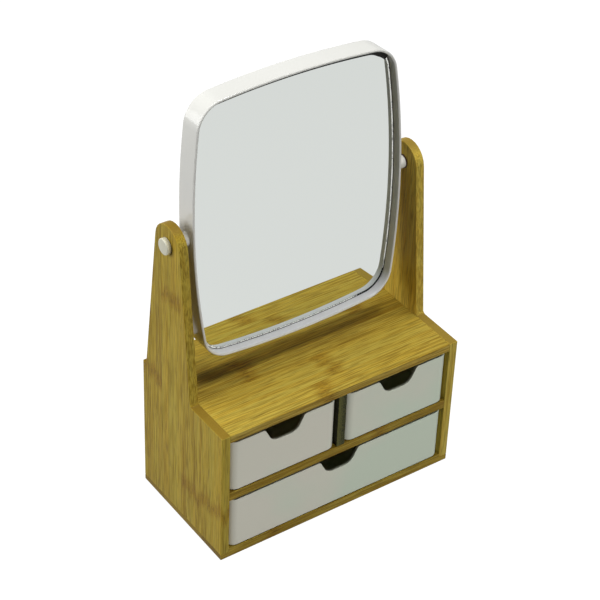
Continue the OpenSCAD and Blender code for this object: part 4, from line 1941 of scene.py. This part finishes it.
@dataclass
class Studio:
    """A white paper floor, a pale surround and soft lamps.

    Attributes:
        paper: The floor's own grey, which sets how much lamp light it throws back.
        white: Strength at which the floor shines to the camera, besides the light that it throws back.
        surround: Strength at which the surround lights the object.
        shown: Strength of floor and surround in shiny and clear surfaces.
        floor_half: Half of the floor's side, in metres.
        lamps: The lamps.
    """

    paper: float = 0.12
    white: float = 0.98
    surround: float = 0.05
    shown: float = 0.71
    floor_half: float = 12.0
    lamps: tuple[Softbox, ...] = (
        Softbox("overhead_box", (0.2, 0.06, 2.2), 0.9, 0.9, 32.5),
        Softbox("left_box", (-1.5, 0.7, 0.8), 1.6, 1.4, 23.3),
        Softbox("front_box", (0.3, -2.2, 0.16), 0.5, 0.28, 17.8, mirrored=False),
    )

    def build(self) -> None:
        """Makes the floor, the surround and the lamps, and sets the plain view transform."""
        bpy.context.scene.view_settings.view_transform = "Standard"
        self.floor()
        self.air()
        for lamp in self.lamps:
            lamp.build()

    @staticmethod
    def backdrop(sheet: NodeSheet, seen: float, reflected: float) -> bpy.types.NodeSocket:
        """How brightly a backdrop shows: to the camera, and in shiny or clear surfaces that the camera sees.

        Args:
            sheet: The sheet to draw on.
            seen: Its strength to the camera.
            reflected: Its strength to reflected and transmitted rays that have met no matt surface.

        Returns:
            The strength.
        """
        path = sheet.node("ShaderNodeLightPath").outputs
        clear = sheet.maths("MAXIMUM", path["Is Glossy Ray"], path["Is Transmission Ray"])
        straight = sheet.maths("LESS_THAN", path["Diffuse Depth"], 0.5)
        mirrored = sheet.maths("MULTIPLY", sheet.maths("MULTIPLY", clear, straight), reflected)
        return sheet.maths("MULTIPLY_ADD", path["Is Camera Ray"], seen, mirrored)

    def floor(self) -> None:
        """A wide floor, bright to the camera and in shiny surfaces, that lights matt ones only a little."""
        half = self.floor_half
        corners = [(-half, -half, 0), (half, -half, 0), (half, half, 0), (-half, half, 0)]
        mesh = bpy.data.meshes.new("paper_floor")
        mesh.from_pydata(corners, [], [(0, 1, 2, 3)])
        floor = bpy.data.objects.new("paper_floor", mesh)
        bpy.context.scene.collection.objects.link(floor)
        paper = bpy.data.materials.new("WhitePaper")
        paper.use_nodes = True
        paper.node_tree.nodes.clear()
        sheet = NodeSheet(paper.node_tree)
        matt = sheet.node("ShaderNodeBsdfDiffuse")
        sheet.feed(matt.inputs["Color"], (self.paper, self.paper, self.paper))
        glow = sheet.node("ShaderNodeEmission")
        sheet.feed_all(glow, {"Color": WHITE, "Strength": self.backdrop(sheet, self.white, self.shown)})
        both = sheet.node("ShaderNodeAddShader")
        sheet.feed(both.inputs[0], matt.outputs[0])
        sheet.feed(both.inputs[1], glow.outputs[0])
        sheet.feed(sheet.node("ShaderNodeOutputMaterial").inputs[0], both.outputs[0])
        mesh.materials.append(paper)

    def air(self) -> None:
        """A surround that is white to the camera and lights the object at a lower level."""
        world = bpy.data.worlds.new("surround")
        bpy.context.scene.world = world
        world.use_nodes = True
        world.node_tree.nodes.clear()
        sheet = NodeSheet(world.node_tree)
        shown = self.backdrop(sheet, 1.0 - self.surround, self.shown - self.surround)
        air = sheet.node("ShaderNodeBackground")
        sheet.feed_all(air, {"Color": WHITE, "Strength": sheet.maths("ADD", shown, self.surround)})
        sheet.feed(sheet.node("ShaderNodeOutputWorld").inputs[0], air.outputs[0])


def main() -> None:
    """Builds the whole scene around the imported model."""
    logging.basicConfig(level=logging.INFO, format="%(name)s: %(message)s")
    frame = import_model()
    joint = next(j for j in frame["joints"] if j["name"] == "mirror_tilt")
    pivot = np.array(joint["pos_m"])

    BambooGrain().build()
    MouldedSkin().build()
    PhotoCamera().build()
    Studio().build()
    Cabinet(pivot=pivot).build()
    drawer_plastic = MouldedPlastic(
        "DrawerPlastic", (0.83, 0.81, 0.68), (0.74, 0.83, 0.67),
        grain=1400.0, gloss=0.34, dull=0.46, relief=0.03, drift=1.8,
    ).material()
    for node in ("left_drawer", "right_drawer", "lower_drawer"):
        Drawer(node).build(drawer_plastic)
    MirrorHead(pivot=pivot).build()
    HiddenParts().dress(frame["nodes"])


if __name__ == "__main__":
    main()
